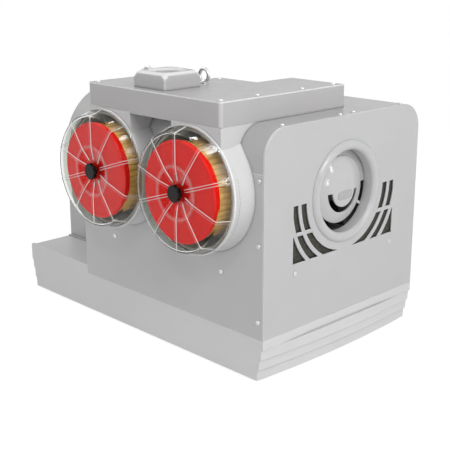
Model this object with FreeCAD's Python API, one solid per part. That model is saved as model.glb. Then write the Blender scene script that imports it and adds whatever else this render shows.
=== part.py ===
import FreeCAD, Part
import math
import os

# Claw vacuum pump under an acoustic hood, with two inlet filters behind clear covers on its front.
# Lengths are in millimetres. +X points to the fan end, +Y to the back and +Z up, and the origin
# lies on the floor under the middle of the machine.

Vector = FreeCAD.Vector

# Casing. Places along X are counted from the fan end, along Y from the front panel.
body_length = 851.0
casing_height = 438.0
sheet = 3.0
setback = 127.0
left_drop = 17.0
left_radius = 150.0
hood_radius = 60.0
hood_skirt = 90.0
hood_split = 266.0
panel_flange = 12.0
foot_strip = 8.0

# Base tray, with stepped ends and a fan end that is bowed in plan
base_height = 93.0
base_wall = 6.0
base_floor = 8.0
tier_count = 3
tier_step = 4.0
tier_draft = 1.5
top_band = 21.0
base_bow = 12.0
deck_rise = 18.0
deck_lip = 3.0
deck_lip_width = 12.0
beam_width = 60.0
beam_web = 6.0
beam_inset = 30.0

# Rubber feet, each on a boss in the tray
foot_height = 10.0
foot_radius = 16.0
foot_inset_x = 46.0
foot_inset_y = 34.0
foot_hole_radius = 4.25
foot_hole_depth = 22.0
foot_boss_radius = 24.0
foot_edge = 2.0

# Fan grille and louvres in the end panel
grille_radius = 112.0
grille_throat = 90.0
grille_depth = 24.0
grille_wall = 3.0
grille_hub_radius = 74.0
hub_setback = 20.0
hub_apex_setback = 4.0
spoke_width = 6.0
hub_slot_inner = 36.0
hub_slot_outer = 49.0
backing_thickness = 2.0
louvre_inner = 129.0
louvre_width = 17.0
louvre_pitch = 26.0
louvre_reach = 170.0
louvre_row_height = 58.0
louvre_row_gap = 8.0
louvre_top_drop = 3.0

# Inlet filters: a drum casting, a cartridge, a clear cover and a knob on a central stud
filter_end_margin = 24.5
cover_spacing = 7.5
shoulder_margin = 19.0
rim_below_top = 4.5
drum_flare = 138.5
drum_rim = 134.5
drum_reach = 50.5
drum_depth = 96.0
drum_bore = 122.0
drum_wall = 5.0
drum_skirt = 45.0
flare_sag = 1.5
stud_boss_length = 12.0
stud_boss_radius = 12.0
stud_seat_wall = 3.0
neck_left = 53.5
neck_right = 93.0
neck_depth = 62.0
gasket_height = 2.0
gasket_width = 5.0
gasket_edge = 1.5
cover_depth = 39.0
cover_taper = 11.0
cover_wall = 3.0
cover_dish_radius = 55.0
cover_dish_depth = 6.5
cover_hub_radius = 22.0
cover_rim_bead = 2.0
rib_count = 10
rib_width = 5.0
rib_height = 2.5
rib_proud = 1.0
knob_radius = 18.5
knob_length = 13.0
knob_flutes = 8
knob_flute_radius = 5.0
knob_collar = 4.0
knob_edge = 3.0
knob_nose_wall = 4.0
stud_radius = 5.0
stud_cover_length = 6.0
cartridge_radius = 107.0
cartridge_length = 167.0
cartridge_inset = 10.5
cartridge_bore = 50.0
cap_height = 12.0
cap_wall = 3.0
cap_edge = 1.5
cap_rim = 6.0
cap_step = 2.0
cap_dish = 5.0
pleat_count = 52
pleat_gap = 1.0
pleat_depth = 20.0
pleat_thickness = 3.0
outlet_count = 4
outlet_radius = 13.0
outlet_circle = 30.0

# Suction manifold on top: a stepped lid with the inlet block and two lifting eyes
manifold_height = 51.0
manifold_wall = 4.0
manifold_corner = 8.0
manifold_apron = 3.0
manifold_back_right = 325.0
manifold_back_middle = 210.0
manifold_back_left = 150.0
manifold_step_right = 225.0
manifold_step_left = 345.0
inlet_from_end = 312.0
inlet_from_front = 24.0
inlet_side = 103.0
inlet_height = 36.0
inlet_straight = 20.0
inlet_draw_in = 7.0
inlet_corner = 4.0
inlet_corner_growth = 12.0
inlet_bore_radius = 36.1
inlet_mouth_radius = 40.0
inlet_mouth_depth = 6.0
eye_ring_radius = 14.0
eye_bar_radius = 4.0
eye_collar_radius = 10.0
eye_collar_height = 6.0
eye_shank = 10.0
lid_opening_margin = 20.0
eye_spots = ((296.0, 116.5), (403.5, 46.5))

# Drive line: cooling fan, motor, coupling and pump on one axis, with the driven shaft below
shaft_pitch = 110.0
fan_start = 40.0
fan_length = 44.0
fan_radius = 104.0
fan_hub_radius = 28.0
fan_disc = 4.0
fan_nose = 8.0
fan_blades = 7
blade_thickness = 4.0
shroud_gap = 8.0
shroud_wall = 3.0
shroud_end_gap = 4.0
fan_gap = 20.0
motor_length = 246.0
motor_radius = 100.0
motor_bore = 90.0
motor_fins = 24
fin_height = 12.0
fin_thickness = 3.0
shield_thickness = 16.0
stator_bore = 62.0
stator_length = 150.0
rotor_radius = 61.0
motor_shaft_radius = 16.0
motor_foot_width = 140.0
motor_foot_length = 40.0
motor_foot_thickness = 8.0
leg_arch = 24.0
terminal_length = 100.0
terminal_width = 90.0
terminal_height = 40.0
terminal_room = 11.0
terminal_corner = 8.0
terminal_lid = 8.0
terminal_lip = 2.0
gland_radius = 11.0
gland_length = 22.0
coupling_offset = 8.0
coupling_radius = 40.0
coupling_hub_length = 30.0
coupling_jaw_length = 16.0
coupling_jaws = 3
coupling_core = 18.0
jaw_angle = 32.0
jaw_end_gap = 1.0
spider_arm = 8.0
pump_gap = 36.0
end_plate = 22.0
rotor_length = 107.0
claw_radius = 80.0
claw_tip_angle = 30.0
claw_points = 10
claw_rest_turn = 150.0
pump_wall = 12.0
pump_fins = 5
pump_fin_height = 10.0
pump_fin_thickness = 4.0
plate_rim = 2.0
pedestal_web = 2.0
port_width = 60.0
port_height = 44.0
port_frame = 8.0
pump_shaft_radius = 17.5
bearing_radius = 31.0
bearing_length = 16.0
gear_teeth = 22
gear_face = 22.0
gear_offset = 8.0
shaft_chamfer = 2.0
pressure_angle = 20.0
gearbox_length = 68.0
gearbox_wall = 5.0
sight_glass_radius = 14.0
sight_glass_proud = 5.0

# Suction duct, silencer and exhaust flange
duct_height = 66.0
duct_depth = 34.0
duct_wall = 3.0
duct_gap = 22.7
pipe_wall = 4.0
pipe_flange = 6.0
silencer_radius = 60.0
silencer_start = 150.0
silencer_length = 480.0
silencer_wall = 3.0
silencer_corner = 8.0
silencer_gap = 9.0
rear_room = 25.0
exhaust_from_end = 250.0
exhaust_flange_radius = 52.0
exhaust_flange_length = 18.0
exhaust_bore_radius = 36.1
exhaust_bolt_circle = 84.0
exhaust_bolt_radius = 3.4
exhaust_bolts = 4
port_step = 2.0
saddle_thickness = 20.0
saddle_width = 90.0
saddle_foot = 12.0
saddle_arch = 14.0

# Screws
screw_head_radius = 5.0
screw_head_height = 2.6
screw_radius = 2.5
screw_length = 9.0
screw_inset = 14.0
front_screw_heights = (38.0, 201.0)
drum_screw_shifts = {"right": 41.0, "left": -39.5}
drum_screw_drop = 38.5
end_screw_drop = 36.0
end_screw_reach = 163.0
hood_screw_from_front = 64.0
hood_screw_from_split = 22.5
hood_screw_from_back = 58.0
manifold_screw_inset = 17.0

# Clearances
fit_gap = 0.3
shaft_gap = 0.05
screw_gap = 0.2
claw_gap = 0.35
side_gap = 0.4
gear_backlash = 0.3

# Sizes that follow from what is inside: the casing grows with the filters and the machine
filter_pitch = 2 * (drum_rim + cover_rim_bead) + cover_spacing
filter_from_end = drum_flare + filter_end_margin
shoulder_radius = drum_flare + shoulder_margin
front_length = shoulder_radius + filter_pitch + filter_from_end
plate_radius = claw_radius + pump_wall + pump_fin_height + plate_rim
axis_from_front = drum_depth + fit_gap + duct_depth + duct_gap + plate_radius
silencer_from_front = axis_from_front + plate_radius + silencer_gap + silencer_radius
body_width = silencer_from_front + silencer_radius + rear_room
filter_drop = drum_rim + rim_below_top
pleat_outer = cartridge_radius - cap_wall - pleat_gap
pleat_inner = pleat_outer - pleat_depth
axis_drop = sheet + terminal_room + terminal_height + fin_height + motor_radius
motor_start = fan_start + fan_length + fan_gap
coupling_length = coupling_offset + 2 * coupling_hub_length + coupling_jaw_length
pump_start = motor_start + motor_length + coupling_length + pump_gap

# Derived places in the machine's frame
end_bulge = base_bow - tier_step
knob_proud = knob_length - cover_dish_depth
front_reach = drum_reach + cover_depth + knob_proud
x_end = (body_length - end_bulge) / 2
x_left = x_end - body_length
x_front_left = x_end - front_length
y_front = (front_reach - body_width) / 2
y_back = y_front + body_width
z_base = foot_height
z_deck = z_base + base_height
z_left_deck = z_deck + deck_rise
z_hood = z_deck + casing_height
z_seam = z_hood - hood_skirt
z_left_top = z_hood - left_drop
y_setback = y_front + setback
z_filter = z_hood - filter_drop
x_filters = {"right": x_end - filter_from_end, "left": x_end - filter_from_end - filter_pitch}
x_between = (x_filters["left"] + x_filters["right"]) / 2
x_hood_left = x_filters["left"] - math.sqrt(shoulder_radius ** 2 - filter_drop ** 2)
shoulder_end = 180 - math.degrees(math.asin(filter_drop / shoulder_radius))
shoulder_middle = (180 + shoulder_end) / 2
y_axis = y_front + axis_from_front
z_drive = z_hood - axis_drop
z_driven = z_drive - shaft_pitch
z_pump_middle = z_drive - shaft_pitch / 2
x_pump = x_end - pump_start
x_cylinder = x_pump - end_plate
cylinder_length = rotor_length + 2 * side_gap
x_gear_plate = x_cylinder - cylinder_length
x_gearbox = x_gear_plate - end_plate
gearbox_radius = plate_radius - 2 * plate_rim
x_motor = x_end - motor_start
x_motor_back = x_motor - motor_length
y_duct = y_front + drum_depth + fit_gap
y_duct_back = y_duct + duct_depth
x_port = x_cylinder - cylinder_length / 2
y_cover = y_front - drum_reach
y_cover_face = y_cover - cover_depth
y_cartridge = y_cover_face + cartridge_inset
z_manifold_top = z_hood + manifold_height
x_manifold_right = x_filters["right"] + neck_right
x_manifold_left = x_filters["left"] - neck_left
y_rim = y_cover + fit_gap
y_manifold = y_rim
inlet_spot = (x_end - inlet_from_end, y_front + inlet_from_front)


# Shape helpers. A profile is a list of points: a pair ends a line, four numbers are the middle
# and the end of an arc.

def face_of(profile, place):
    edges = []
    first = place(*profile[0])
    start = first
    for step in profile[1:]:
        end = place(*step[-2:])
        if len(step) == 4:
            edges.append(Part.Arc(start, place(*step[:2]), end).toShape())
        else:
            edges.append(Part.makeLine(start, end))
        start = end
    if start.distanceToPoint(first) > 1e-6:
        edges.append(Part.makeLine(start, first))
    return Part.Face(Part.Wire(edges))


def plate_x(profile, x_low, x_high):
    face = face_of(profile, lambda y, z: Vector(x_low, y, z))
    return face.extrude(Vector(x_high - x_low, 0, 0))


def plate_y(profile, y_low, y_high):
    face = face_of(profile, lambda x, z: Vector(x, y_low, z))
    return face.extrude(Vector(0, y_high - y_low, 0))


def plate_z(profile, z_low, z_high):
    face = face_of(profile, lambda x, y: Vector(x, y, z_low))
    return face.extrude(Vector(0, 0, z_high - z_low))


def turned_x(profile, y, z):
    face = face_of(profile, lambda along, radius: Vector(along, y + radius, z))
    return face.revolve(Vector(0, y, z), Vector(1, 0, 0), 360)


def turned_y(profile, x, z):
    face = face_of(profile, lambda along, radius: Vector(x + radius, along, z))
    return face.revolve(Vector(x, 0, z), Vector(0, 1, 0), 360)


def turned_z(profile, x, y):
    face = face_of(profile, lambda along, radius: Vector(x + radius, y, along))
    return face.revolve(Vector(x, y, 0), Vector(0, 0, 1), 360)


def box(x_low, x_high, y_low, y_high, z_low, z_high):
    corner = Vector(x_low, y_low, z_low)
    return Part.makeBox(x_high - x_low, y_high - y_low, z_high - z_low, corner)


def rod_x(x_low, x_high, y, z, radius):
    return Part.makeCylinder(radius, x_high - x_low, Vector(x_low, y, z), Vector(1, 0, 0))


def rod_y(y_low, y_high, x, z, radius):
    return Part.makeCylinder(radius, y_high - y_low, Vector(x, y_low, z), Vector(0, 1, 0))


def rod_z(z_low, z_high, x, y, radius):
    return Part.makeCylinder(radius, z_high - z_low, Vector(x, y, z_low), Vector(0, 0, 1))


def joined(shapes):
    return shapes[0].multiFuse(shapes[1:]).removeSplitter()


def cut(shape, tools):
    for tool in tools:
        shape = shape.cut(tool)
    return shape


def arc_to(centre_u, centre_v, radius, middle_angle, end_angle):
    middle = math.radians(middle_angle)
    end = math.radians(end_angle)
    return (centre_u + radius * math.cos(middle), centre_v + radius * math.sin(middle),
            centre_u + radius * math.cos(end), centre_v + radius * math.sin(end))


def stadium(radius):
    """Outline round both pump shafts, in Y and Z."""
    return [(y_axis - radius, z_driven), (y_axis - radius, z_drive),
            arc_to(y_axis, z_drive, radius, 90, 0), (y_axis + radius, z_driven),
            arc_to(y_axis, z_driven, radius, -90, -180)]


def rounded_box_profile(x_low, x_high, y_low, y_high, radius):
    return [(x_low, y_low + radius), arc_to(x_low + radius, y_low + radius, radius, 225, 270),
            (x_high - radius, y_low), arc_to(x_high - radius, y_low + radius, radius, -45, 0),
            (x_high, y_high - radius), arc_to(x_high - radius, y_high - radius, radius, 45, 90),
            (x_low + radius, y_high), arc_to(x_low + radius, y_high - radius, radius, 135, 180)]


# Casing

def arched_profile(y_low, y_high, z_low, z_top, front_radius, back_radius):
    return [(y_low, z_low), (y_low, z_top - front_radius),
            arc_to(y_low + front_radius, z_top - front_radius, front_radius, 135, 90),
            (y_high - back_radius, z_top),
            arc_to(y_high - back_radius, z_top - back_radius, back_radius, 45, 0),
            (y_high, z_low)]


def main_profile(inset, z_low):
    radius = hood_radius - inset
    return arched_profile(y_front + inset, y_back - inset, z_low, z_hood - inset, radius, radius)


def left_profile(inset, z_low):
    return arched_profile(y_setback + inset, y_back - inset, z_low, z_left_top - inset,
                          left_radius - inset, hood_radius - inset)


def drum_holes(gap):
    """Space that the drums and their necks take in the casing."""
    holes = []
    for x in x_filters.values():
        skirt = rod_y(y_front - 1, y_front + drum_depth, x, z_filter, drum_flare + gap)
        holes.append(skirt.common(box(x_left, x_end, y_front - 1, y_back, z_base, z_hood - sheet)))
        holes.append(box(x - neck_left - gap, x + neck_right + gap, y_front - 1,
                         y_front + neck_depth + gap, z_filter, z_hood + 1))
    return holes


def panel_screw_spots():
    """Places of the front panel's screws, in X and Z, along its edges."""
    x_edge = x_end - screw_inset
    spots = [(x_edge, z_seam - screw_inset)] + [(x_edge, z_deck + height) for height in front_screw_heights]
    below = z_filter - drum_flare - drum_screw_drop
    return spots + [(x + drum_screw_shifts[side], below) for side, x in x_filters.items()]


def end_screw_spots():
    """Places of the end panel's screws, in Y and Z."""
    height = z_drive - grille_radius - end_screw_drop
    return [(y_axis - end_screw_reach, height), (y_axis + end_screw_reach, height)]


def hood_screw_spots():
    """Places of the hood's screws along the end panel, in X and Y, and beside the split."""
    x = x_end - screw_inset
    split = y_front + hood_split
    return [(x, y_front + hood_screw_from_front), (x, split - hood_screw_from_split),
            (x, split + hood_screw_from_split), (x, y_back - hood_screw_from_back)]


def front_panel():
    """Flat sheet with a return down its left side that follows the left drum."""
    x = x_filters["left"]
    outline = [(x_front_left, z_deck), (x_front_left, z_filter),
               arc_to(x, z_filter, shoulder_radius, shoulder_middle, shoulder_end),
               (x_end - sheet, z_hood), (x_end - sheet, z_deck)]
    y_return = y_setback + left_radius
    blank = plate_y(outline, y_front, y_return)
    radius = shoulder_radius - sheet
    inner = [(x_front_left + sheet, z_deck), (x_front_left + sheet, z_filter),
             arc_to(x, z_filter, radius, shoulder_middle, shoulder_end), (x_end, z_hood - sheet),
             (x_end, z_deck)]
    hollow = plate_y(inner, y_front + sheet, y_return + 1)
    shell = blank.cut(hollow)
    shell = shell.cut(box(x, x_end, y_front + sheet, y_return, z_deck, z_hood))
    shell = shell.cut(box(x_hood_left, x_end, y_front - 1, y_return + 1, z_seam, z_hood + 1))
    shell = shell.cut(plate_x(left_profile(0, z_base), x_left, x_hood_left))
    shell = shell.common(plate_x(main_profile(0, z_base), x_left, x_end))
    holes = drum_holes(fit_gap)
    for screw_x, screw_z in panel_screw_spots():
        holes.append(rod_y(y_front - 1, y_front + sheet + 1, screw_x, screw_z, screw_radius + screw_gap))
    return cut(shell, holes)


def louvres():
    """Curved slots round the grille, in two rows on each side."""
    slots = []
    top = z_drive - louvre_top_drop
    for row in range(2):
        z_high = top - row * (louvre_row_height + louvre_row_gap)
        z_low = z_high - louvre_row_height
        for side in (-1, 1):
            y_far = y_axis + side * louvre_reach
            window = box(x_end - sheet - 1, x_end + 1, min(y_axis, y_far), max(y_axis, y_far), z_low, z_high)
            for band in range(3 - (1 - row)):
                inner = louvre_inner + band * louvre_pitch
                outer = inner + louvre_width if band < 2 else 2 * louvre_reach
                annulus = rod_x(x_end - sheet - 1, x_end + 1, y_axis, z_drive, outer)
                annulus = annulus.cut(rod_x(x_end - sheet - 2, x_end + 2, y_axis, z_drive, inner))
                slots.append(window.common(annulus))
    return slots


def end_panel():
    panel = plate_x(main_profile(0, z_deck), x_end - sheet, x_end)
    holes = louvres()
    holes.append(rod_x(x_end - sheet - 1, x_end + 1, y_axis, z_drive, grille_radius - 2 * sheet))
    for y, z in end_screw_spots():
        holes.append(rod_x(x_end - sheet - 1, x_end + 1, y, z, screw_radius + screw_gap))
    return cut(panel, holes)


def hood_shell(y_low, y_high, end_wall):
    """Arched sheet of the main hood between two places along Y, with a left end wall if asked."""
    shell = plate_x(main_profile(0, z_seam), x_hood_left, x_end - sheet)
    shell = shell.cut(plate_x(main_profile(sheet, z_seam), x_hood_left + end_wall, x_end))
    shell = shell.cut(plate_x(left_profile(panel_flange, z_base), x_hood_left - 1, x_hood_left + sheet + 1))
    return shell.common(box(x_hood_left, x_end, y_low, y_high, z_seam, z_hood))


def hood_front():
    shell = hood_shell(y_front, y_front + hood_split, -1)
    margin = lid_opening_margin
    lid_opening = box(x_manifold_left + 2 * margin, x_manifold_right - margin, y_front + neck_depth + margin,
                      y_front + manifold_back_left - margin, z_hood - sheet - 1, z_hood + 1)
    holes = drum_holes(fit_gap) + [lid_opening]
    for x, y in hood_screw_spots()[:2]:
        holes.append(rod_z(z_hood - sheet - 1, z_hood + 1, x, y, screw_radius + screw_gap))
    return cut(shell, holes)


def hood_rear():
    shell = hood_shell(y_front + hood_split, y_back, sheet)
    holes = []
    for x, y in hood_screw_spots()[2:]:
        holes.append(rod_z(z_hood - sheet - 1, z_hood + 1, x, y, screw_radius + screw_gap))
    return cut(shell, holes)


def left_hood():
    """Rounded housing over the timing gears, open towards the main casing."""
    shell = plate_x(left_profile(0, z_left_deck), x_left, x_hood_left)
    shell = shell.cut(plate_x(left_profile(sheet, z_left_deck), x_left + sheet, x_hood_left + 1))
    y_middle = y_setback + left_radius
    shell = shell.cut(box(x_front_left, x_hood_left + 1, y_front, y_middle, z_base, z_filter))
    shell = shell.cut(box(x_front_left, x_hood_left + 1, y_middle, y_back + 1, z_base, z_seam))
    inside = rod_y(y_front, y_middle, x_filters["left"], z_filter, shoulder_radius)
    shell = shell.cut(inside)
    strip = box(x_left, x_front_left, y_setback - foot_strip, y_setback, z_left_deck, z_left_deck + sheet)
    return joined([shell, strip])


def rear_panel():
    panel = box(x_front_left, x_end - sheet, y_back - sheet, y_back, z_deck, z_seam)
    return panel.cut(rod_y(y_back - sheet - 1, y_back + 1, x_end - exhaust_from_end, z_pump_middle,
                           exhaust_flange_radius + fit_gap))


def tier_wire(inset, bow, z):
    """Plan outline of the tray at one height; the fan end bows out by the given amount."""
    x_low = x_left + inset
    x_high = x_end - inset
    points = [Vector(x_high, y_back, z), Vector(x_low, y_back, z), Vector(x_low, y_front, z),
              Vector(x_high, y_front, z)]
    edges = [Part.makeLine(points[k], points[k + 1]) for k in range(3)]
    middle = Vector(x_high + max(bow, 0.01), (y_front + y_back) / 2, z)
    edges.append(Part.Arc(points[3], middle, points[0]).toShape())
    return Part.Wire(edges)


def base_outside():
    """Stepped outer form of the tray: a plain top band over drafted tiers."""
    parts = [box(x_left, x_end, y_front, y_back, z_deck - top_band, z_deck)]
    tier_height = (base_height - top_band) / tier_count
    for tier in range(tier_count):
        z_high = z_deck - top_band - tier * tier_height
        inset = (tier + 1) * tier_step + tier * tier_draft
        top = tier_wire(inset, base_bow, z_high)
        bottom = tier_wire(inset + tier_draft, base_bow, z_high - tier_height)
        parts.append(Part.makeLoft([bottom, top], True))
    parts.append(box(x_left, x_front_left, y_front, y_back, z_deck, z_left_deck))
    parts.append(deck_edge())
    return joined(parts)


def deck_edge():
    """Low lip along the front of the raised left deck, sloping down to it at the back."""
    y_inner = y_front + deck_lip_width
    lip = [(y_front, z_left_deck), (y_front, z_left_deck + deck_lip),
           (y_inner - deck_lip, z_left_deck + deck_lip), (y_inner, z_left_deck)]
    return plate_x(lip, x_left, x_front_left)


def foot_spots():
    x_low = x_left + foot_inset_x
    x_high = x_end - foot_inset_x
    y_low = y_front + foot_inset_y
    y_high = y_back - foot_inset_y
    return [(x_low, y_low), (x_high, y_low), (x_high, y_high), (x_low, y_high)]


def beam_places():
    """Middles along X of the tray's cross beams, under the motor, pump and silencer."""
    return [x_motor - beam_inset, x_motor_back + beam_inset, x_pump - end_plate / 2,
            x_gear_plate - end_plate / 2]


def base_tray():
    inset = tier_count * (tier_step + tier_draft) + base_wall
    y_low = y_front + base_wall
    y_high = y_back - base_wall
    z_floor = z_base + base_floor
    cavity = box(x_left + inset, x_end - inset, y_low, y_high, z_floor, z_deck - base_floor)
    top_opening = box(x_front_left + base_wall, x_end - inset, y_low + panel_flange,
                      y_high - panel_flange, z_floor, z_deck + 1)
    left_opening = box(x_left + inset, x_front_left + base_wall, y_setback + panel_flange,
                       y_high - panel_flange, z_floor, z_left_deck + 1)
    tray = cut(base_outside(), [cavity, top_opening, left_opening])
    parts = [tray]
    for x in beam_places():
        parts.append(box(x - beam_web / 2, x + beam_web / 2, y_low - 1, y_high + 1, z_base + 1, z_deck))
        parts.append(box(x - beam_width / 2, x + beam_width / 2, y_low - 1, y_high + 1,
                         z_deck - beam_web, z_deck))
    for x, y in foot_spots():
        parts.append(rod_z(z_base, z_deck - base_floor + 1, x, y, foot_boss_radius))
    tray = joined(parts)
    return cut(tray, [rod_z(z_base - 1, z_base + foot_hole_depth, x, y, foot_hole_radius)
                      for x, y in foot_spots()])


def rubber_feet():
    feet = []
    for x, y in foot_spots():
        profile = [(0, foot_hole_radius), (0, foot_radius - foot_edge), (foot_edge, foot_radius),
                   (z_base, foot_radius), (z_base, foot_hole_radius)]
        feet.append(turned_z(profile, x, y))
    return Part.makeCompound(feet)


def screw(length):
    """Pan head screw along -Z with its seat at the origin."""
    rim = screw_head_height * 0.5
    head = [(0, 0), (0, screw_head_radius), (rim, screw_head_radius),
            (screw_head_height, screw_head_radius * 0.6), (screw_head_height, 0)]
    return joined([turned_z(head, 0, 0), rod_z(-length, 0, 0, 0, screw_radius)])


def placed(shape, position, direction):
    copy = shape.copy()
    copy.Placement = FreeCAD.Placement(position, FreeCAD.Rotation(Vector(0, 0, 1), direction))
    return copy


def panel_screws():
    pattern = screw(screw_length)
    group = []
    for x, z in panel_screw_spots():
        group.append(placed(pattern, Vector(x, y_front, z), Vector(0, -1, 0)))
    for y, z in end_screw_spots():
        group.append(placed(pattern, Vector(x_end, y, z), Vector(1, 0, 0)))
    for x, y in hood_screw_spots():
        group.append(placed(pattern, Vector(x, y, z_hood), Vector(0, 0, 1)))
    return Part.makeCompound(group)


def fan_grille():
    """Bulged ring, domed hub, three spokes and a backing that closes the upper half."""
    crown = (grille_radius + grille_throat) / 2
    wall = grille_wall
    ring = turned_x([(x_end, grille_radius), (x_end + end_bulge, crown, x_end, grille_throat),
                     (x_end - grille_depth, grille_throat), (x_end - grille_depth, grille_throat + wall),
                     (x_end, grille_throat + wall)], y_axis, z_drive)
    rim = x_end - hub_setback
    apex = x_end - hub_apex_setback
    rise = apex - rim
    half = math.asin(grille_hub_radius / hub_dome_radius()) / 2
    middle = (apex - hub_dome_radius() * (1 - math.cos(half)), hub_dome_radius() * math.sin(half))
    dome = turned_x([(apex, 0), middle + (rim, grille_hub_radius), (rim - wall, grille_hub_radius),
                     (apex - wall - rise * 0.25, grille_hub_radius * 0.5), (apex - wall, 0)],
                    y_axis, z_drive)
    slot = rod_x(rim - 9, apex + 1, y_axis, z_drive, hub_slot_outer)
    slot = slot.cut(rod_x(rim - 10, apex + 2, y_axis, z_drive, hub_slot_inner))
    lower = box(rim - 10, apex + 2, y_axis - grille_radius, y_axis + grille_radius,
                z_drive - grille_radius, z_drive - backing_thickness)
    parts = [ring, dome.cut(slot.common(lower))]
    bar = box(x_end - grille_depth, rim - wall / 2, y_axis - spoke_width / 2, y_axis + spoke_width / 2,
              z_drive + hub_slot_outer + wall, z_drive + grille_throat + wall / 2)
    for turn in (0, 120, 240):
        spoke = bar.copy()
        spoke.rotate(Vector(0, y_axis, z_drive), Vector(1, 0, 0), turn)
        parts.append(spoke)
    backing = rod_x(x_end - grille_depth, x_end - grille_depth + backing_thickness, y_axis, z_drive,
                    grille_throat + wall)
    backing = backing.cut(rod_x(x_end - grille_depth - 1, x_end, y_axis, z_drive, hub_slot_outer + wall))
    upper = box(x_end - grille_depth, x_end, y_axis - grille_radius, y_axis + grille_radius,
                z_drive + spoke_width, z_drive + grille_radius)
    parts.append(backing.common(upper))
    return joined(parts)


def hub_dome_radius():
    rise = hub_setback - hub_apex_setback
    return (grille_hub_radius ** 2 + rise ** 2) / (2 * rise)


# Inlet filters

def filter_drum(x):
    """Casting with a flared front, a bowl behind it and a neck up to the manifold."""
    y_rear = y_front + drum_depth
    top = z_hood
    flare_middle = (y_front - drum_reach * 0.4, (drum_flare + drum_rim) / 2 - flare_sag)
    outside = turned_y([(y_rim, 0), (y_rim, drum_rim), flare_middle + (y_front, drum_flare),
                        (y_front + drum_skirt, drum_flare), (y_front + drum_skirt, drum_bore + drum_wall),
                        (y_rear, drum_bore), (y_rear, 0)], x, z_filter)
    neck = box(x - neck_left, x + neck_right, y_rim, y_front + neck_depth, z_filter, top)
    side_limit = x_between + fit_gap / 2 if x > x_between else x_between - fit_gap / 2
    reach = 2 * drum_flare if x > x_between else -2 * drum_flare
    room = box(min(side_limit, x + reach), max(side_limit, x + reach), y_rim - 1, y_rear + 1,
               z_filter - 2 * drum_flare, top - sheet - fit_gap)
    body = joined([outside.common(room), neck])
    bowl = turned_y([(y_rim - 1, 0), (y_rim - 1, drum_bore), (y_rear - drum_wall, drum_bore - drum_wall),
                     (y_rear - drum_wall, 0)], x, z_filter)
    skirt_hollow = turned_y([(y_front + 1, drum_bore + drum_wall), (y_front + 1, drum_flare - drum_wall),
                             (y_front + drum_skirt + 1, drum_flare - drum_wall),
                             (y_front + drum_skirt + 1, drum_bore + drum_wall)], x, z_filter)
    neck_room = box(x - neck_left, x + neck_right, y_front - 1, y_rear, z_filter, top + 1)
    skirt_hollow = skirt_hollow.cut(neck_room)
    duct = box(x - neck_left + drum_wall, x + neck_right - drum_wall, y_rim + 2 * drum_wall,
               y_front + neck_depth - drum_wall, z_filter, top + 1)
    body = cut(body, [bowl, skirt_hollow, duct])
    boss = rod_y(y_rear - drum_wall - stud_boss_length, y_rear, x, z_filter, stud_boss_radius)
    body = body.fuse(boss)
    outlets = [rod_y(y_rear - drum_wall - 1, y_rear + 1, spot_x, spot_z, outlet_radius)
               for spot_x, spot_z in outlet_spots(x)]
    seat = rod_y(y_rear - drum_wall - stud_boss_length - 1, y_rear - stud_seat_wall, x, z_filter,
                 stud_radius + shaft_gap)
    groove = gasket_ring(x, screw_gap)
    return cut(body, outlets + [seat, groove]).removeSplitter()


def outlet_spots(x):
    """Middles of the holes through which a drum's clean air leaves, in X and Z."""
    angles = [math.radians(45 + k * 360 / outlet_count) for k in range(outlet_count)]
    return [(x + outlet_circle * math.cos(angle), z_filter + outlet_circle * math.sin(angle))
            for angle in angles]


def gasket_ring(x, gap):
    outer = drum_rim - gasket_edge + gap
    inner = outer - gasket_width - 2 * gap
    y_low = y_rim - gap
    return turned_y([(y_low, inner), (y_low, outer), (y_rim + gasket_height, outer),
                     (y_rim + gasket_height, inner)], x, z_filter)


def cover_gasket(x):
    return gasket_ring(x, 0)


def filter_cover(x):
    """Clear tapered cover with a dished centre, radial ribs and a bead round its rim."""
    face_radius = drum_rim - cover_taper
    y_dish = y_cover_face + cover_dish_depth
    y_bead = y_cover - 2 * cover_rim_bead
    wall = cover_wall
    bore = stud_radius + 1
    shell = turned_y([(y_cover, drum_rim - wall), (y_cover, drum_rim + cover_rim_bead),
                      (y_bead, drum_rim + cover_rim_bead), (y_bead, drum_rim - 0.5),
                      (y_cover_face + 2 * wall, face_radius), (y_cover_face, face_radius - 2 * wall),
                      (y_cover_face, cover_dish_radius), (y_dish, cover_hub_radius), (y_dish, bore),
                      (y_dish + wall, bore), (y_dish + wall, cover_hub_radius),
                      (y_cover_face + wall, cover_dish_radius + wall / 2),
                      (y_cover_face + wall, face_radius - 2.5 * wall),
                      (y_cover_face + 2.5 * wall, face_radius - wall), (y_bead, drum_rim - wall)],
                     x, z_filter)
    parts = [shell]
    rib = rib_profile(x, face_radius, y_dish)
    for k in range(rib_count):
        turned = rib.copy()
        turned.rotate(Vector(x, 0, z_filter), Vector(0, 1, 0), k * 360 / rib_count)
        parts.append(turned)
    return joined(parts)


def rib_profile(x, face_radius, y_dish):
    """One rib of the cover, pointing up: along the dish, over the face and down the side."""
    wall = cover_wall
    start = cover_hub_radius - rib_proud
    outline = [(start, y_dish - rib_height), (cover_dish_radius, y_cover_face - rib_proud),
               (face_radius - 2 * wall, y_cover_face - rib_proud),
               (face_radius + rib_height * 0.6, y_cover_face + 2 * wall),
               (drum_rim + 0.6, y_cover - 3 * wall), (drum_rim - wall, y_cover - 3 * wall),
               (face_radius - wall / 2, y_cover_face + 2 * wall),
               (face_radius - 2 * wall, y_cover_face + wall / 2),
               (cover_dish_radius, y_cover_face + wall / 2), (start, y_dish + wall / 2)]
    face = face_of(outline, lambda radius, y: Vector(x - rib_width / 2, y, z_filter + radius))
    return face.extrude(Vector(rib_width, 0, 0))


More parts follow.
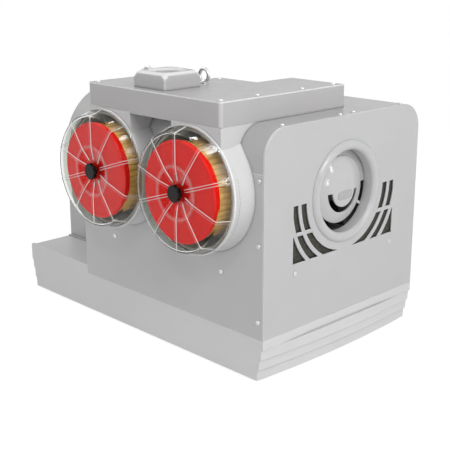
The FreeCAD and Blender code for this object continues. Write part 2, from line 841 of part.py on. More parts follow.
def cover_knob(x):
    """Fluted hand knob with a blind bore for the stud."""
    y_seat = y_cover_face + cover_dish_depth - fit_gap
    y_nose = y_seat - knob_length + fit_gap
    turn = arc_to(0, 0, knob_edge, 45, 90)
    nose = (y_nose + knob_edge - turn[1], knob_radius - knob_edge + turn[0], y_nose, knob_radius - knob_edge)
    knob = turned_y([(y_seat, 0), (y_seat, knob_radius * 0.7),
                     (y_seat - knob_collar * 0.7, knob_radius * 0.75), (y_seat - knob_collar, knob_radius),
                     (y_nose + knob_edge, knob_radius), nose, (y_nose, 0)], x, z_filter)
    flutes = []
    for k in range(knob_flutes):
        angle = math.radians((k + 0.5) * 360 / knob_flutes)
        reach = knob_radius + knob_flute_radius / 2
        flutes.append(rod_y(y_nose - 1, y_seat + 1, x + reach * math.cos(angle),
                            z_filter + reach * math.sin(angle), knob_flute_radius))
    bore = rod_y(y_nose + knob_nose_wall, y_seat + 1, x, z_filter, stud_radius + shaft_gap)
    return cut(knob, flutes + [bore])


def filter_stud(x):
    y_tip = y_cover_face - knob_proud + stud_cover_length
    y_root = y_front + drum_depth - stud_seat_wall - fit_gap
    return turned_y([(y_tip, 0), (y_tip, stud_radius - 1), (y_tip + 1, stud_radius),
                     (y_root, stud_radius), (y_root, 0)], x, z_filter)


def front_cap(x):
    """End disc of the cartridge, with a raised rim and a dished centre."""
    y = y_cartridge
    dish = cover_dish_radius
    bore = stud_radius + 1
    y_inner = y + cap_dish + cap_wall
    return turned_y([(y + cap_height, cartridge_radius), (y + cap_edge, cartridge_radius),
                     (y, cartridge_radius - cap_edge), (y, cartridge_radius - cap_rim),
                     (y + cap_step, cartridge_radius - cap_rim - cap_step), (y + cap_step, dish + cap_wall),
                     (y + cap_dish, dish), (y + cap_dish, bore),
                     (y_inner, bore), (y_inner, cartridge_radius - cap_wall),
                     (y + cap_height, cartridge_radius - cap_wall)], x, z_filter)


def rear_cap(x):
    """Open end ring of the cartridge, seated on the back of the drum."""
    y = y_cartridge + cartridge_length
    inner = cartridge_radius - cap_wall
    return turned_y([(y, cartridge_bore), (y, cartridge_radius), (y - cap_height, cartridge_radius),
                     (y - cap_height, inner), (y - cap_wall, inner), (y - cap_wall, cartridge_bore)],
                    x, z_filter)


def cartridge_pleats(x):
    """Folded paper between the caps: a zigzag wall of even thickness."""
    y_low = y_cartridge + cap_dish + cap_wall
    y_high = y_cartridge + cartridge_length - cap_wall
    walls = []
    for shift in (0, pleat_thickness):
        outline = []
        for k in range(2 * pleat_count):
            radius = pleat_outer - shift if k % 2 == 0 else pleat_inner - shift
            angle = math.pi * k / pleat_count
            outline.append((x + radius * math.cos(angle), z_filter + radius * math.sin(angle)))
        walls.append(plate_y(outline, y_low, y_high))
    return walls[0].cut(walls[1])


# Suction manifold

def manifold_profile(inset):
    """Stepped plan of the lid, with rounded corners at its front."""
    x_low = x_manifold_left + inset
    x_high = x_manifold_right - inset
    y_low = y_manifold + inset
    x_right_step = x_end - manifold_step_right + inset
    x_left_step = x_end - manifold_step_left + inset
    radius = manifold_corner - inset
    return [(x_low, y_low + radius), arc_to(x_low + radius, y_low + radius, radius, 225, 270),
            (x_high - radius, y_low), arc_to(x_high - radius, y_low + radius, radius, -45, 0),
            (x_high, y_front + manifold_back_right - inset),
            (x_right_step, y_front + manifold_back_right - inset),
            (x_right_step, y_front + manifold_back_middle - inset),
            (x_left_step, y_front + manifold_back_middle - inset),
            (x_left_step, y_front + manifold_back_left - inset),
            (x_low, y_front + manifold_back_left - inset)]


def manifold_screw_spots():
    """Screws along the lid's right side and near its back corners, in X and Y."""
    inset = manifold_screw_inset
    x_right = x_manifold_right - inset
    x_left = x_manifold_left + inset
    y_low = y_manifold + inset
    y_right = y_front + manifold_back_right - inset
    span = y_right - y_low
    spots = [(x_right, y_low + span * share) for share in (0, 0.3, 0.7, 1)]
    spots.append((x_end - manifold_step_left + inset, y_front + manifold_back_middle - inset))
    spots.append((x_left, y_front + manifold_back_left - inset))
    spots.append((x_left, y_low))
    return spots


def manifold_cover():
    """Hollow lid over both necks, with an apron between the drums."""
    wall = manifold_wall
    lid = plate_z(manifold_profile(0), z_hood, z_manifold_top)
    apron = box(x_filters["left"] + neck_right + fit_gap, x_filters["right"] - neck_left - fit_gap,
                y_manifold, y_front, z_hood - manifold_apron, z_hood)
    lid = lid.fuse(apron)
    hollow = plate_z(manifold_profile(wall), z_hood + wall, z_manifold_top - wall)
    tools = [hollow]
    for x in x_filters.values():
        tools.append(box(x - neck_left + 2 * drum_wall, x + neck_right - 2 * drum_wall,
                         y_rim + 2 * drum_wall, y_front + neck_depth - 2 * drum_wall,
                         z_hood - 1, z_hood + wall + 1))
    x, y = inlet_spot
    tools.append(rod_z(z_manifold_top - wall - 1, z_manifold_top + 1, x, y, inlet_bore_radius + port_step))
    posts = []
    spots = [(sx, sy, screw_radius) for sx, sy in manifold_screw_spots()]
    spots += [(x_end - ex, y_front + ey, eye_bar_radius) for ex, ey in eye_spots]
    for post_x, post_y, radius in spots:
        posts.append(rod_z(z_hood + wall - 1, z_manifold_top - wall + 1, post_x, post_y, radius + wall))
    holes = [rod_z(z_manifold_top - screw_length - 3, z_manifold_top + 1, sx, sy, radius + screw_gap)
             for sx, sy, radius in spots]
    return cut(joined([cut(lid, tools)] + posts), holes)


def manifold_screws():
    pattern = screw(screw_length)
    return Part.makeCompound([placed(pattern, Vector(x, y, z_manifold_top), Vector(0, 0, 1))
                              for x, y in manifold_screw_spots()])


def inlet_block():
    """Square inlet flange whose upper half draws in to a round mouth."""
    x, y = inlet_spot
    half = inlet_side / 2
    z_shoulder = z_manifold_top + inlet_straight
    z_top = z_manifold_top + inlet_height
    foot = plate_z(rounded_box_profile(x - half, x + half, y - half, y + half, inlet_corner),
                   z_manifold_top, z_shoulder)
    sections = []
    for step in range(4):
        share = step / 3
        side = half - inlet_draw_in * (1 - math.sqrt(1 - share * share))
        height = z_shoulder + (z_top - z_shoulder) * share
        corner = inlet_corner + inlet_corner_growth * share
        profile = rounded_box_profile(x - side, x + side, y - side, y + side, corner)
        sections.append(face_of(profile, lambda u, v, z=height: Vector(u, v, z)).OuterWire)
    crown = Part.makeLoft(sections, True, True)
    mouth = turned_z([(z_top + 1, 0), (z_top + 1, inlet_mouth_radius + 1),
                      (z_top - inlet_mouth_depth, inlet_bore_radius),
                      (z_top - inlet_mouth_depth, 0)], x, y)
    bore = rod_z(z_manifold_top - 1, z_top + 1, x, y, inlet_bore_radius)
    return cut(joined([foot, crown]), [mouth, bore])


def lifting_eye(spot):
    """Forged ring on a collar, with its shank in the lid."""
    x = x_end - spot[0]
    y = y_front + spot[1]
    z_ring = z_manifold_top + eye_ring_radius + eye_bar_radius
    ring = Part.makeTorus(eye_ring_radius, eye_bar_radius, Vector(x, y, z_ring), Vector(0, 1, 0))
    collar = turned_z([(z_manifold_top, 0), (z_manifold_top, eye_collar_radius),
                       (z_manifold_top + eye_collar_height * 0.5, eye_collar_radius),
                       (z_manifold_top + eye_collar_height, eye_bar_radius + 1),
                       (z_manifold_top + eye_collar_height, 0)], x, y)
    shank = rod_z(z_manifold_top - eye_shank, z_manifold_top + 1, x, y, eye_bar_radius)
    return joined([ring, collar, shank])


# Drive line

def cooling_fan():
    """Radial fan: back disc, hub and straight blades."""
    x_high = x_end - fan_start
    x_low = x_high - fan_length
    hub = rod_x(x_low, x_high, y_axis, z_drive, fan_hub_radius)
    disc = rod_x(x_low, x_low + fan_disc, y_axis, z_drive, fan_radius)
    parts = [hub, disc]
    blade = box(x_low, x_high, y_axis - blade_thickness / 2, y_axis + blade_thickness / 2,
                z_drive + fan_hub_radius * 0.5, z_drive + fan_radius)
    for k in range(fan_blades):
        turned = blade.copy()
        turned.rotate(Vector(0, y_axis, z_drive), Vector(1, 0, 0), k * 360 / fan_blades)
        parts.append(turned)
    bore = rod_x(x_low - 1, x_high - fan_nose, y_axis, z_drive, motor_shaft_radius + shaft_gap)
    return joined(parts).cut(bore)


def fan_shroud():
    """Ring round the fan on a foot that stands on the tray's front beam."""
    x_high = x_end - grille_depth - shroud_end_gap
    x_low = x_motor + shroud_wall
    inner = fan_radius + shroud_gap
    outer = inner + shroud_wall
    ring = turned_x([(x_low, inner), (x_high, inner), (x_high, outer), (x_low, outer)], y_axis, z_drive)
    half = motor_foot_width / 2
    foot = box(x_low, x_low + shroud_wall, y_axis - half, y_axis + half, z_deck, z_drive)
    flange = box(beam_places()[0] + motor_foot_length / 2 + fit_gap, x_low + shroud_wall,
                 y_axis - half, y_axis + half, z_deck, z_deck + shroud_wall)
    foot = foot.cut(rod_x(x_low - 1, x_high, y_axis, z_drive, outer - 1))
    return joined([ring, foot, flange])


def motor_housing():
    """Finned tube on two feet."""
    x_low = x_motor_back + shield_thickness
    x_high = x_motor - shield_thickness
    tube = rod_x(x_low, x_high, y_axis, z_drive, motor_radius)
    parts = [tube]
    fin = box(x_low, x_high, y_axis - fin_thickness / 2, y_axis + fin_thickness / 2,
              z_drive + motor_radius - 2, z_drive + motor_radius + fin_height)
    for k in range(motor_fins):
        turned = fin.copy()
        turned.rotate(Vector(0, y_axis, z_drive), Vector(1, 0, 0), (k + 0.5) * 360 / motor_fins)
        parts.append(turned)
    half = motor_foot_width / 2
    for x in beam_places()[:2]:
        leg = box(x - beam_web, x + beam_web, y_axis - half, y_axis + half, z_deck,
                  z_drive - motor_radius * 0.7)
        leg = leg.cut(box(x - beam_web - 1, x + beam_web + 1, y_axis - half * 0.6, y_axis + half * 0.6,
                          z_deck + motor_foot_thickness, z_drive - motor_radius - leg_arch))
        plate = box(x - motor_foot_length / 2, x + motor_foot_length / 2, y_axis - half, y_axis + half,
                    z_deck, z_deck + motor_foot_thickness)
        parts += [leg, plate]
    middle = x_motor - motor_length / 2
    pad = box(middle - terminal_length / 2, middle + terminal_length / 2, y_axis - terminal_width / 2,
              y_axis + terminal_width / 2, z_drive, z_drive + motor_radius + fin_height)
    housing = joined(parts + [pad])
    return housing.cut(rod_x(x_low - 1, x_high + 1, y_axis, z_drive, motor_bore))


def motor_stator():
    x = x_motor - motor_length / 2
    half = stator_length / 2
    return turned_x([(x - half, stator_bore), (x - half, motor_bore), (x + half, motor_bore),
                     (x + half, stator_bore)], y_axis, z_drive)


def motor_end_shields():
    """Two discs that close the motor's tube and hold its bearings."""
    group = []
    for x_low in (x_motor_back, x_motor - shield_thickness):
        x_high = x_low + shield_thickness
        disc = rod_x(x_low, x_high, y_axis, z_drive, motor_radius)
        group.append(disc.cut(rod_x(x_low - 1, x_high + 1, y_axis, z_drive, bearing_radius)))
    return Part.makeCompound(group)


def motor_rotor():
    """Cage rotor on the shaft that carries the fan and one coupling hub."""
    x_fan = x_end - fan_start - fan_nose - shaft_chamfer
    x_tip = x_motor_back - coupling_offset - coupling_hub_length
    middle = x_motor - motor_length / 2
    half = stator_length / 2
    radius = motor_shaft_radius
    slope = shaft_chamfer
    return turned_x([(x_tip, 0), (x_tip, radius - slope), (x_tip + slope, radius), (middle - half, radius),
                     (middle - half, rotor_radius), (middle + half, rotor_radius),
                     (middle + half, radius), (x_fan - slope, radius), (x_fan, radius - slope), (x_fan, 0)],
                    y_axis, z_drive)


def bearing(x_low, z, bore, length):
    return turned_x([(x_low, bore + shaft_gap), (x_low, bearing_radius), (x_low + length, bearing_radius),
                     (x_low + length, bore + shaft_gap)], y_axis, z)


def shaft_bearings():
    """Bearing rings: two in the motor and two on each pump shaft."""
    group = [bearing(x, z_drive, motor_shaft_radius, shield_thickness)
             for x in (x_motor_back, x_motor - shield_thickness)]
    for z in (z_drive, z_driven):
        for x in (x_pump - end_plate, x_gearbox + end_plate - bearing_length):
            group.append(bearing(x, z, pump_shaft_radius, bearing_length))
    return Part.makeCompound(group)


def terminal_box():
    x = x_motor - motor_length / 2
    z = z_drive + motor_radius + fin_height
    half_x = terminal_length / 2
    half_y = terminal_width / 2
    lip = terminal_lip
    profile = rounded_box_profile(x - half_x, x + half_x, y_axis - half_y, y_axis + half_y, terminal_corner)
    body = plate_z(profile, z, z + terminal_height)
    lid = rounded_box_profile(x - half_x - lip, x + half_x + lip, y_axis - half_y - lip,
                              y_axis + half_y + lip, terminal_corner + lip)
    body = body.fuse(plate_z(lid, z + terminal_height - terminal_lid, z + terminal_height))
    gland = rod_y(y_axis + half_y - 1, y_axis + half_y + gland_length, x, z + terminal_height * 0.4,
                  gland_radius)
    return joined([body, gland])


def jaw(x_low, x_high, angle, width):
    """One sector of the coupling between two radii."""
    inner = coupling_core
    outer = coupling_radius - jaw_end_gap
    start = angle - width / 2
    end = angle + width / 2
    outer_arc = arc_to(y_axis, z_drive, outer, angle, end)
    inner_arc = arc_to(y_axis, z_drive, inner, angle, start)
    profile = [inner_arc[2:], arc_to(y_axis, z_drive, outer, angle, start)[2:], outer_arc,
               arc_to(y_axis, z_drive, inner, angle, end)[2:], inner_arc]
    return plate_x(profile, x_low, x_high)


def coupling_hub(x_low, x_jaw, first_angle, shaft_radius):
    """Hub with jaws that reach into the spider from one side."""
    x_body = x_low + coupling_hub_length if x_jaw > x_low else x_low
    hub = rod_x(x_low, x_low + coupling_hub_length, y_axis, z_drive, coupling_radius)
    parts = [hub]
    for k in range(coupling_jaws):
        angle = first_angle + k * 360 / coupling_jaws
        parts.append(jaw(min(x_body, x_jaw), max(x_body, x_jaw), angle, jaw_angle))
    bore = rod_x(x_low - 1, x_low + coupling_hub_length + 1, y_axis, z_drive, shaft_radius + shaft_gap)
    return joined(parts).cut(bore)


def coupling_places():
    """Low ends along X of the motor hub and the pump hub, and the jaw space between them."""
    x_motor_hub = x_motor_back - coupling_offset - coupling_hub_length
    x_gap = x_motor_hub - coupling_jaw_length
    return x_motor_hub, x_gap - coupling_hub_length, x_gap


def coupling_hub_motor():
    x_motor_hub, x_pump_hub, x_gap = coupling_places()
    return coupling_hub(x_motor_hub, x_gap + jaw_end_gap, 90, motor_shaft_radius)


def coupling_hub_pump():
    x_motor_hub, x_pump_hub, x_gap = coupling_places()
    return coupling_hub(x_pump_hub, x_motor_hub - jaw_end_gap, 90 + 180 / coupling_jaws, pump_shaft_radius)


def coupling_spider():
    """Rubber star between the jaws."""
    x_motor_hub, x_pump_hub, x_gap = coupling_places()
    x_low = x_gap + jaw_end_gap
    x_high = x_motor_hub - jaw_end_gap
    core = rod_x(x_low, x_high, y_axis, z_drive, coupling_core - fit_gap)
    parts = [core]
    for k in range(2 * coupling_jaws):
        arm = box(x_low, x_high, y_axis - spider_arm / 2, y_axis + spider_arm / 2,
                  z_drive, z_drive + coupling_radius - 2 * jaw_end_gap)
        arm.rotate(Vector(0, y_axis, z_drive), Vector(1, 0, 0), (k + 0.5) * 180 / coupling_jaws)
        parts.append(arm)
    return joined(parts)


# Pump stage

def trochoid(radius, turn):
    """Path of a point of one rotor, seen from the other while both turn. Returns radius and angle."""
    along = shaft_pitch - radius * math.cos(turn)
    across = radius * math.sin(turn)
    return math.hypot(along, across), math.atan2(across, along) + turn


def claw_outline():
    """Polar outline of a claw rotor: tip arc, hooked flank, root arc, pocket flank, rolling arc
    and back flank. The flanks are the paths of the other rotor's corners."""
    pitch = shaft_pitch / 2
    root = shaft_pitch - claw_radius
    tip = math.radians(claw_tip_angle)
    turn_to_tip = math.acos(pitch / claw_radius)
    turn_to_pitch = math.acos((shaft_pitch ** 2 + claw_radius ** 2 - pitch ** 2)
                              / (2 * shaft_pitch * claw_radius))
    turn_to_back = math.acos((shaft_pitch ** 2 + pitch ** 2 - claw_radius ** 2)
                             / (2 * shaft_pitch * pitch))
    hook = trochoid(claw_radius, turn_to_tip)[1]
    pocket = trochoid(claw_radius, turn_to_pitch)[1]
    back = trochoid(pitch, turn_to_back)[1]
    polar = []
    steps = claw_points
    for k in range(steps + 1):
        polar.append((claw_radius, -tip + tip * k / steps))
    for k in range(1, 2 * steps + 1):
        radius, angle = trochoid(claw_radius, turn_to_tip * (1 - k / (2 * steps)))
        polar.append((radius, hook - angle))
    for k in range(1, steps + 1):
        polar.append((root, hook + tip * k / steps))
    for k in range(1, steps + 1):
        radius, angle = trochoid(claw_radius, turn_to_pitch * k / steps)
        polar.append((radius, hook + tip + angle))
    rolling_start = hook + tip + pocket
    rolling_end = 2 * math.pi - tip - back
    for k in range(1, steps):
        polar.append((pitch, rolling_start + (rolling_end - rolling_start) * k / steps))
    for k in range(steps):
        radius, angle = trochoid(pitch, turn_to_back * k / steps)
        polar.append((radius, rolling_end + angle))
    return polar


def claw_turns():
    """Angles of the drive and driven claws at rest. With no rest turn the drive claw's tip would
    point straight down, into the other's root."""
    tip = claw_tip_angle / 2
    hook = math.degrees(trochoid(claw_radius, math.acos(shaft_pitch / 2 / claw_radius))[1])
    return -90 + tip + claw_rest_turn, 90 - hook - tip - claw_rest_turn


def claw_rotor(z, turn_degrees):
    turn = math.radians(turn_degrees)
    outline = []
    for radius, angle in claw_outline():
        reach = radius - claw_gap
        outline.append((y_axis + reach * math.cos(angle + turn), z + reach * math.sin(angle + turn)))
    x_low = x_gear_plate + side_gap
    rotor = plate_x(outline, x_low, x_low + rotor_length)
    return rotor.cut(rod_x(x_low - 1, x_low + rotor_length + 1, y_axis, z, pump_shaft_radius + shaft_gap))


def pump_cylinder():
    """Finned body with two meeting bores, an inlet port in front and an outlet port behind."""
    parts = [plate_x(stadium(claw_radius + pump_wall), x_gear_plate, x_cylinder)]
    pitch = cylinder_length / (pump_fins + 1)
    for k in range(pump_fins):
        x = x_gear_plate + (k + 1) * pitch
        fin = stadium(claw_radius + pump_wall + pump_fin_height)
        parts.append(plate_x(fin, x - pump_fin_thickness / 2, x + pump_fin_thickness / 2))
    y_low = y_duct_back + fit_gap
    y_high = y_axis + plate_radius
    half_x = port_width / 2
    half_z = port_height / 2
    frame = port_frame
    parts.append(box(x_port - half_x - frame, x_port + half_x + frame, y_low, y_high,
                     z_pump_middle - half_z - frame, z_pump_middle + half_z + frame))
    tools = [rod_x(x_gear_plate - 1, x_cylinder + 1, y_axis, z, claw_radius) for z in (z_drive, z_driven)]
    tools.append(box(x_port - half_x, x_port + half_x, y_low - 1, y_high + 1,
                     z_pump_middle - half_z, z_pump_middle + half_z))
    return cut(joined(parts), tools)


def end_plate_shape(x_low, bearing_low):
    """Side plate of the pump with a bearing seat and a shaft passage on each axis."""
    plate = plate_x(stadium(plate_radius), x_low, x_low + end_plate)
    tools = []
    for z in (z_drive, z_driven):
        tools.append(rod_x(x_low - 1, x_low + end_plate + 1, y_axis, z, pump_shaft_radius + fit_gap))
        tools.append(rod_x(bearing_low, bearing_low + bearing_length, y_axis, z, bearing_radius))
    return cut(plate, tools)


def drive_end_plate():
    return end_plate_shape(x_cylinder, x_pump - end_plate)


def gear_end_plate():
    return end_plate_shape(x_gearbox, x_gearbox + end_plate - bearing_length)


def pump_shaft(z, x_high):
    x_low = x_gearbox - gear_face - 2 * gear_offset
    radius = pump_shaft_radius
    slope = shaft_chamfer
    return turned_x([(x_low, 0), (x_low, radius - slope), (x_low + slope, radius), (x_high - slope, radius),
                     (x_high, radius - slope), (x_high, 0)], y_axis, z)


def pump_shaft_drive():
    return pump_shaft(z_drive, coupling_places()[1] + coupling_hub_length - shaft_chamfer)


def pump_shaft_driven():
    return pump_shaft(z_driven, x_pump - end_plate + bearing_length)


def involute(angle):
    return math.tan(angle) - angle


def gear_outline(y, z, turn):
    """Spur gear with involute teeth; the turn is the angle of its first tooth."""
    module = shaft_pitch / gear_teeth
    pitch = shaft_pitch / 2
    base = pitch * math.cos(math.radians(pressure_angle))
    tip = pitch + module
    root = pitch - 1.25 * module
    half_pitch = math.pi / (2 * gear_teeth) - gear_backlash / (2 * pitch)
    at_pitch = half_pitch + involute(math.radians(pressure_angle))
    flank = []
    for k in range(4):
        radius = base + (tip - base) * k / 3
        flank.append((radius, at_pitch - involute(math.acos(base / radius))))
    outline = []
    for tooth in range(gear_teeth):
        middle = turn + 2 * math.pi * tooth / gear_teeth
        points = [(root, -flank[0][1])] + [(radius, -half) for radius, half in flank]
        points += [(radius, half) for radius, half in reversed(flank)] + [(root, flank[0][1])]
        for radius, angle in points:
            outline.append((y + radius * math.cos(middle + angle), z + radius * math.sin(middle + angle)))
    return outline


def timing_gear(z, turn):
    x_high = x_gearbox - gear_offset
    gear = plate_x(gear_outline(y_axis, z, turn), x_high - gear_face, x_high)
    gear = gear.cut(rod_x(x_high - gear_face - 1, x_high + 1, y_axis, z, pump_shaft_radius + shaft_gap))
    return gear


def timing_gear_drive():
    return timing_gear(z_drive, -math.pi / 2)


def timing_gear_driven():
    return timing_gear(z_driven, math.pi / 2 + math.pi / gear_teeth)


def gearbox_cover():
    """Oil-tight cup over the timing gears, with a spigot for the sight glass."""
    x_low = x_gearbox - gearbox_length
    cup = plate_x(stadium(gearbox_radius), x_low, x_gearbox)
    cup = cup.cut(plate_x(stadium(gearbox_radius - gearbox_wall), x_low + gearbox_wall, x_gearbox + 1))
    spot = gear_sight_spot()
    return cup.cut(rod_x(x_low - 1, x_low + gearbox_wall + 1, spot[0], spot[1], sight_glass_radius * 0.7))


def gear_sight_spot():
    return y_axis, z_driven - gearbox_radius * 0.55


def oil_sight_glass():
    x = x_gearbox - gearbox_length
    y, z = gear_sight_spot()
    return turned_x([(x, 0), (x, sight_glass_radius), (x - sight_glass_proud + 1, sight_glass_radius),
                     (x - sight_glass_proud, sight_glass_radius - 1), (x - sight_glass_proud, 0)], y, z)


def pump_pedestal():
    """Cast cradle between the tray's beams and the pump's end plates."""
    reach = plate_radius * 0.8
    z_top = z_driven - plate_radius * 0.5
    x_low, x_high = x_gearbox, x_pump
    body = box(x_low, x_high, y_axis - reach, y_axis + reach, z_deck, z_top)
    room = z_driven - plate_radius - z_deck
    z_foot = z_deck + room * 0.2
    z_arch = z_deck + room * 0.8
    x_inner_low = x_gear_plate + pedestal_web
    x_inner_high = x_cylinder - pedestal_web
    body = body.cut(box(x_inner_low, x_inner_high, y_axis - reach - 1, y_axis + reach + 1, z_foot, z_top + 1))
    body = body.cut(box(x_low - 1, x_high + 1, y_axis - reach * 0.4, y_axis + reach * 0.4, z_foot, z_arch))
    return body.cut(plate_x(stadium(plate_radius + fit_gap), x_low - 1, x_high + 1))


# Gas ducts

def suction_duct():
    """Flat duct behind both drums that turns down to the pump's inlet port."""
    half = duct_height / 2
    x_far = x_port - port_width / 2 - port_frame
    x_near = x_filters["right"] + half + port_frame
    z_low = z_pump_middle - port_height / 2 - port_frame
    x_inner = x_port + port_width / 2 + port_frame

    def outline(inset):
        return [(x_far + inset, z_low + inset), (x_inner - inset, z_low + inset),
                (x_inner - inset, z_filter - half + inset), (x_near - inset, z_filter - half + inset),
                (x_near - inset, z_filter + half - inset), (x_far + inset, z_filter + half - inset)]

    duct = plate_y(outline(0), y_duct, y_duct_back)
    tools = [plate_y(outline(duct_wall), y_duct + duct_wall, y_duct_back - duct_wall)]
    for x in x_filters.values():
        for spot_x, spot_z in outlet_spots(x):
            tools.append(rod_y(y_duct - 1, y_duct + duct_wall + 1, spot_x, spot_z, outlet_radius))
    tools.append(box(x_port - port_width / 2, x_port + port_width / 2, y_duct_back - duct_wall - 1,
                     y_duct_back + 1, z_pump_middle - port_height / 2, z_pump_middle + port_height / 2))
    return cut(duct, tools)


def y_silencer():
    return y_front + silencer_from_front


def exhaust_pipe():
    """Short pipe from the pump's outlet port into the silencer."""
    y_low = y_axis + plate_radius + fit_gap
    y_high = y_silencer() - silencer_radius + pipe_flange
    outer = port_height / 2 + pipe_wall
    rim = outer + pipe_flange
    pipe = turned_y([(y_low, outer - pipe_wall), (y_low, rim), (y_low + pipe_wall, rim),
                     (y_low + pipe_wall, outer), (y_high, outer), (y_high, outer - pipe_wall)],
                    x_port, z_pump_middle)
    bulge = rod_x(x_port - rim, x_port + rim, y_silencer(), z_pump_middle, silencer_radius + fit_gap)
    return pipe.cut(bulge)


def exhaust_silencer():
    """Closed drum along the back with an inlet hole and an outlet spigot."""
    x_high = x_end - silencer_start
    x_low = x_high - silencer_length
    y = y_silencer()
    radius = silencer_radius
    x_exhaust = x_end - exhaust_from_end
    y_spigot = y_back - exhaust_flange_length - fit_gap
    spigot = rod_y(y, y_spigot, x_exhaust, z_pump_middle, exhaust_bore_radius + port_step + pipe_wall)

    def drum(inset):
        outer = radius - inset
        low = x_low + inset
        high = x_high - inset
        return turned_x([(low, 0), (low, outer - silencer_corner), (low + silencer_corner, outer),
                         (high - silencer_corner, outer), (high, outer - silencer_corner), (high, 0)],
                        y, z_pump_middle)

    outlet = rod_y(y, y_spigot + 1, x_exhaust, z_pump_middle, exhaust_bore_radius + port_step)
    inlet = rod_y(y - 2 * radius, y, x_port, z_pump_middle, port_height / 2)
    return cut(joined([drum(0), spigot]), [drum(silencer_wall), outlet, inlet])


def exhaust_flange():
    """Round outlet flange flush with the rear panel, bored for the exhaust line."""
    x = x_end - exhaust_from_end
    y_low = y_back - exhaust_flange_length
    flange = turned_y([(y_low, exhaust_bore_radius), (y_low, exhaust_flange_radius),
                       (y_back, exhaust_flange_radius), (y_back, exhaust_bore_radius)], x, z_pump_middle)
    holes = []
    for k in range(exhaust_bolts):
        angle = math.radians(45 + k * 360 / exhaust_bolts)
        reach = exhaust_bolt_circle / 2
        holes.append(rod_y(y_low + 4, y_back + 1, x + reach * math.cos(angle),
                           z_pump_middle + reach * math.sin(angle), exhaust_bolt_radius))
    return cut(flange, holes)


def silencer_saddles():
    """Two upright plates on the tray's beams that carry the silencer."""
    y = y_silencer()
    group = []
    for x in (beam_places()[1], beam_places()[2]):
        plate = box(x - saddle_thickness / 2, x + saddle_thickness / 2, y - saddle_width / 2,
                    y + saddle_width / 2, z_deck, z_pump_middle - silencer_radius * 0.5)
        plate = plate.cut(box(x - saddle_thickness, x + saddle_thickness, y - saddle_width * 0.3,
                              y + saddle_width * 0.3, z_deck + saddle_foot,
                              z_pump_middle - silencer_radius - saddle_arch))
        group.append(plate.cut(rod_x(x - saddle_thickness, x + saddle_thickness, y, z_pump_middle,
                                     silencer_radius + fit_gap)))
    return Part.makeCompound(group)


def all_parts():
    parts = {
        "base_tray": base_tray(),
        "rubber_feet": rubber_feet(),
        "front_panel": front_panel(),
        "end_panel": end_panel(),
        "fan_grille": fan_grille(),
        "hood_front": hood_front(),
        "hood_rear": hood_rear(),
        "rear_panel": rear_panel(),
        "left_hood": left_hood(),
        "panel_screws": panel_screws(),
        "manifold_cover": manifold_cover(),
        "manifold_screws": manifold_screws(),
        "inlet_block": inlet_block(),
        "lifting_eye_right": lifting_eye(eye_spots[0]),
        "lifting_eye_left": lifting_eye(eye_spots[1]),
        "cooling_fan": cooling_fan(),
        "fan_shroud": fan_shroud(),
        "motor_housing": motor_housing(),
        "motor_stator": motor_stator(),
        "motor_end_shields": motor_end_shields(),
        "motor_rotor": motor_rotor(),
        "shaft_bearings": shaft_bearings(),
        "terminal_box": terminal_box(),
        "coupling_hub_motor": coupling_hub_motor(),
        "coupling_spider": coupling_spider(),
        "coupling_hub_pump": coupling_hub_pump(),
        "pump_cylinder": pump_cylinder(),
        "drive_end_plate": drive_end_plate(),
        "gear_end_plate": gear_end_plate(),
        "claw_rotor_drive": claw_rotor(z_drive, claw_turns()[0]),
        "claw_rotor_driven": claw_rotor(z_driven, claw_turns()[1]),
        "pump_shaft_drive": pump_shaft_drive(),
        "pump_shaft_driven": pump_shaft_driven(),
        "timing_gear_drive": timing_gear_drive(),
        "timing_gear_driven": timing_gear_driven(),
        "gearbox_cover": gearbox_cover(),
        "oil_sight_glass": oil_sight_glass(),
        "pump_pedestal": pump_pedestal(),
        "suction_duct": suction_duct(),
        "exhaust_pipe": exhaust_pipe(),
        "exhaust_silencer": exhaust_silencer(),
        "silencer_saddles": silencer_saddles(),
        "exhaust_flange": exhaust_flange(),
    }
    for side, x in x_filters.items():
        parts["filter_drum_" + side] = filter_drum(x)
        parts["cover_gasket_" + side] = cover_gasket(x)
        parts["filter_cover_" + side] = filter_cover(x)
        parts["cover_knob_" + side] = cover_knob(x)
        parts["filter_stud_" + side] = filter_stud(x)
        parts["cartridge_front_cap_" + side] = front_cap(x)
        parts["cartridge_pleats_" + side] = cartridge_pleats(x)
        parts["cartridge_rear_cap_" + side] = rear_cap(x)
    return parts


os.makedirs("parts", exist_ok=True)
for name, shape in all_parts().items():
    shape.exportStep("parts/" + name + ".step")
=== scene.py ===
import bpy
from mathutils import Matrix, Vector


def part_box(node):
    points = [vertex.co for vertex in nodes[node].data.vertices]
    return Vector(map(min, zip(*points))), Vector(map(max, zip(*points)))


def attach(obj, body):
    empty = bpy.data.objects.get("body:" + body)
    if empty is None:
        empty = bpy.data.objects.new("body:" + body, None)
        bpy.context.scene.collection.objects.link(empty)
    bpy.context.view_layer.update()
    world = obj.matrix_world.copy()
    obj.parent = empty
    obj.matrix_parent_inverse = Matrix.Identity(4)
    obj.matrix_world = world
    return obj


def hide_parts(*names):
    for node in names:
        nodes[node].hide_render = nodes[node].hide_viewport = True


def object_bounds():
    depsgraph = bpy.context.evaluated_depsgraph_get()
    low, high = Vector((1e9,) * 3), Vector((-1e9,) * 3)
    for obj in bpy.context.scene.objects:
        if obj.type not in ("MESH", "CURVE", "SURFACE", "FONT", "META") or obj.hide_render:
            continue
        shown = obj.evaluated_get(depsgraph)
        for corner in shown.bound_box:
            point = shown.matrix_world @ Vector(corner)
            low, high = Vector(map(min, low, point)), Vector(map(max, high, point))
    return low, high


bl_info = {
    "name": "Claw vacuum pump",
    "version": (1, 0, 0),
    "blender": (4, 5, 0),
    "location": "3D View > Sidebar > Pump",
    "description": "Dresses the packed claw vacuum pump with its finishes, fine parts and studio",
    "category": "Object",
}

import math

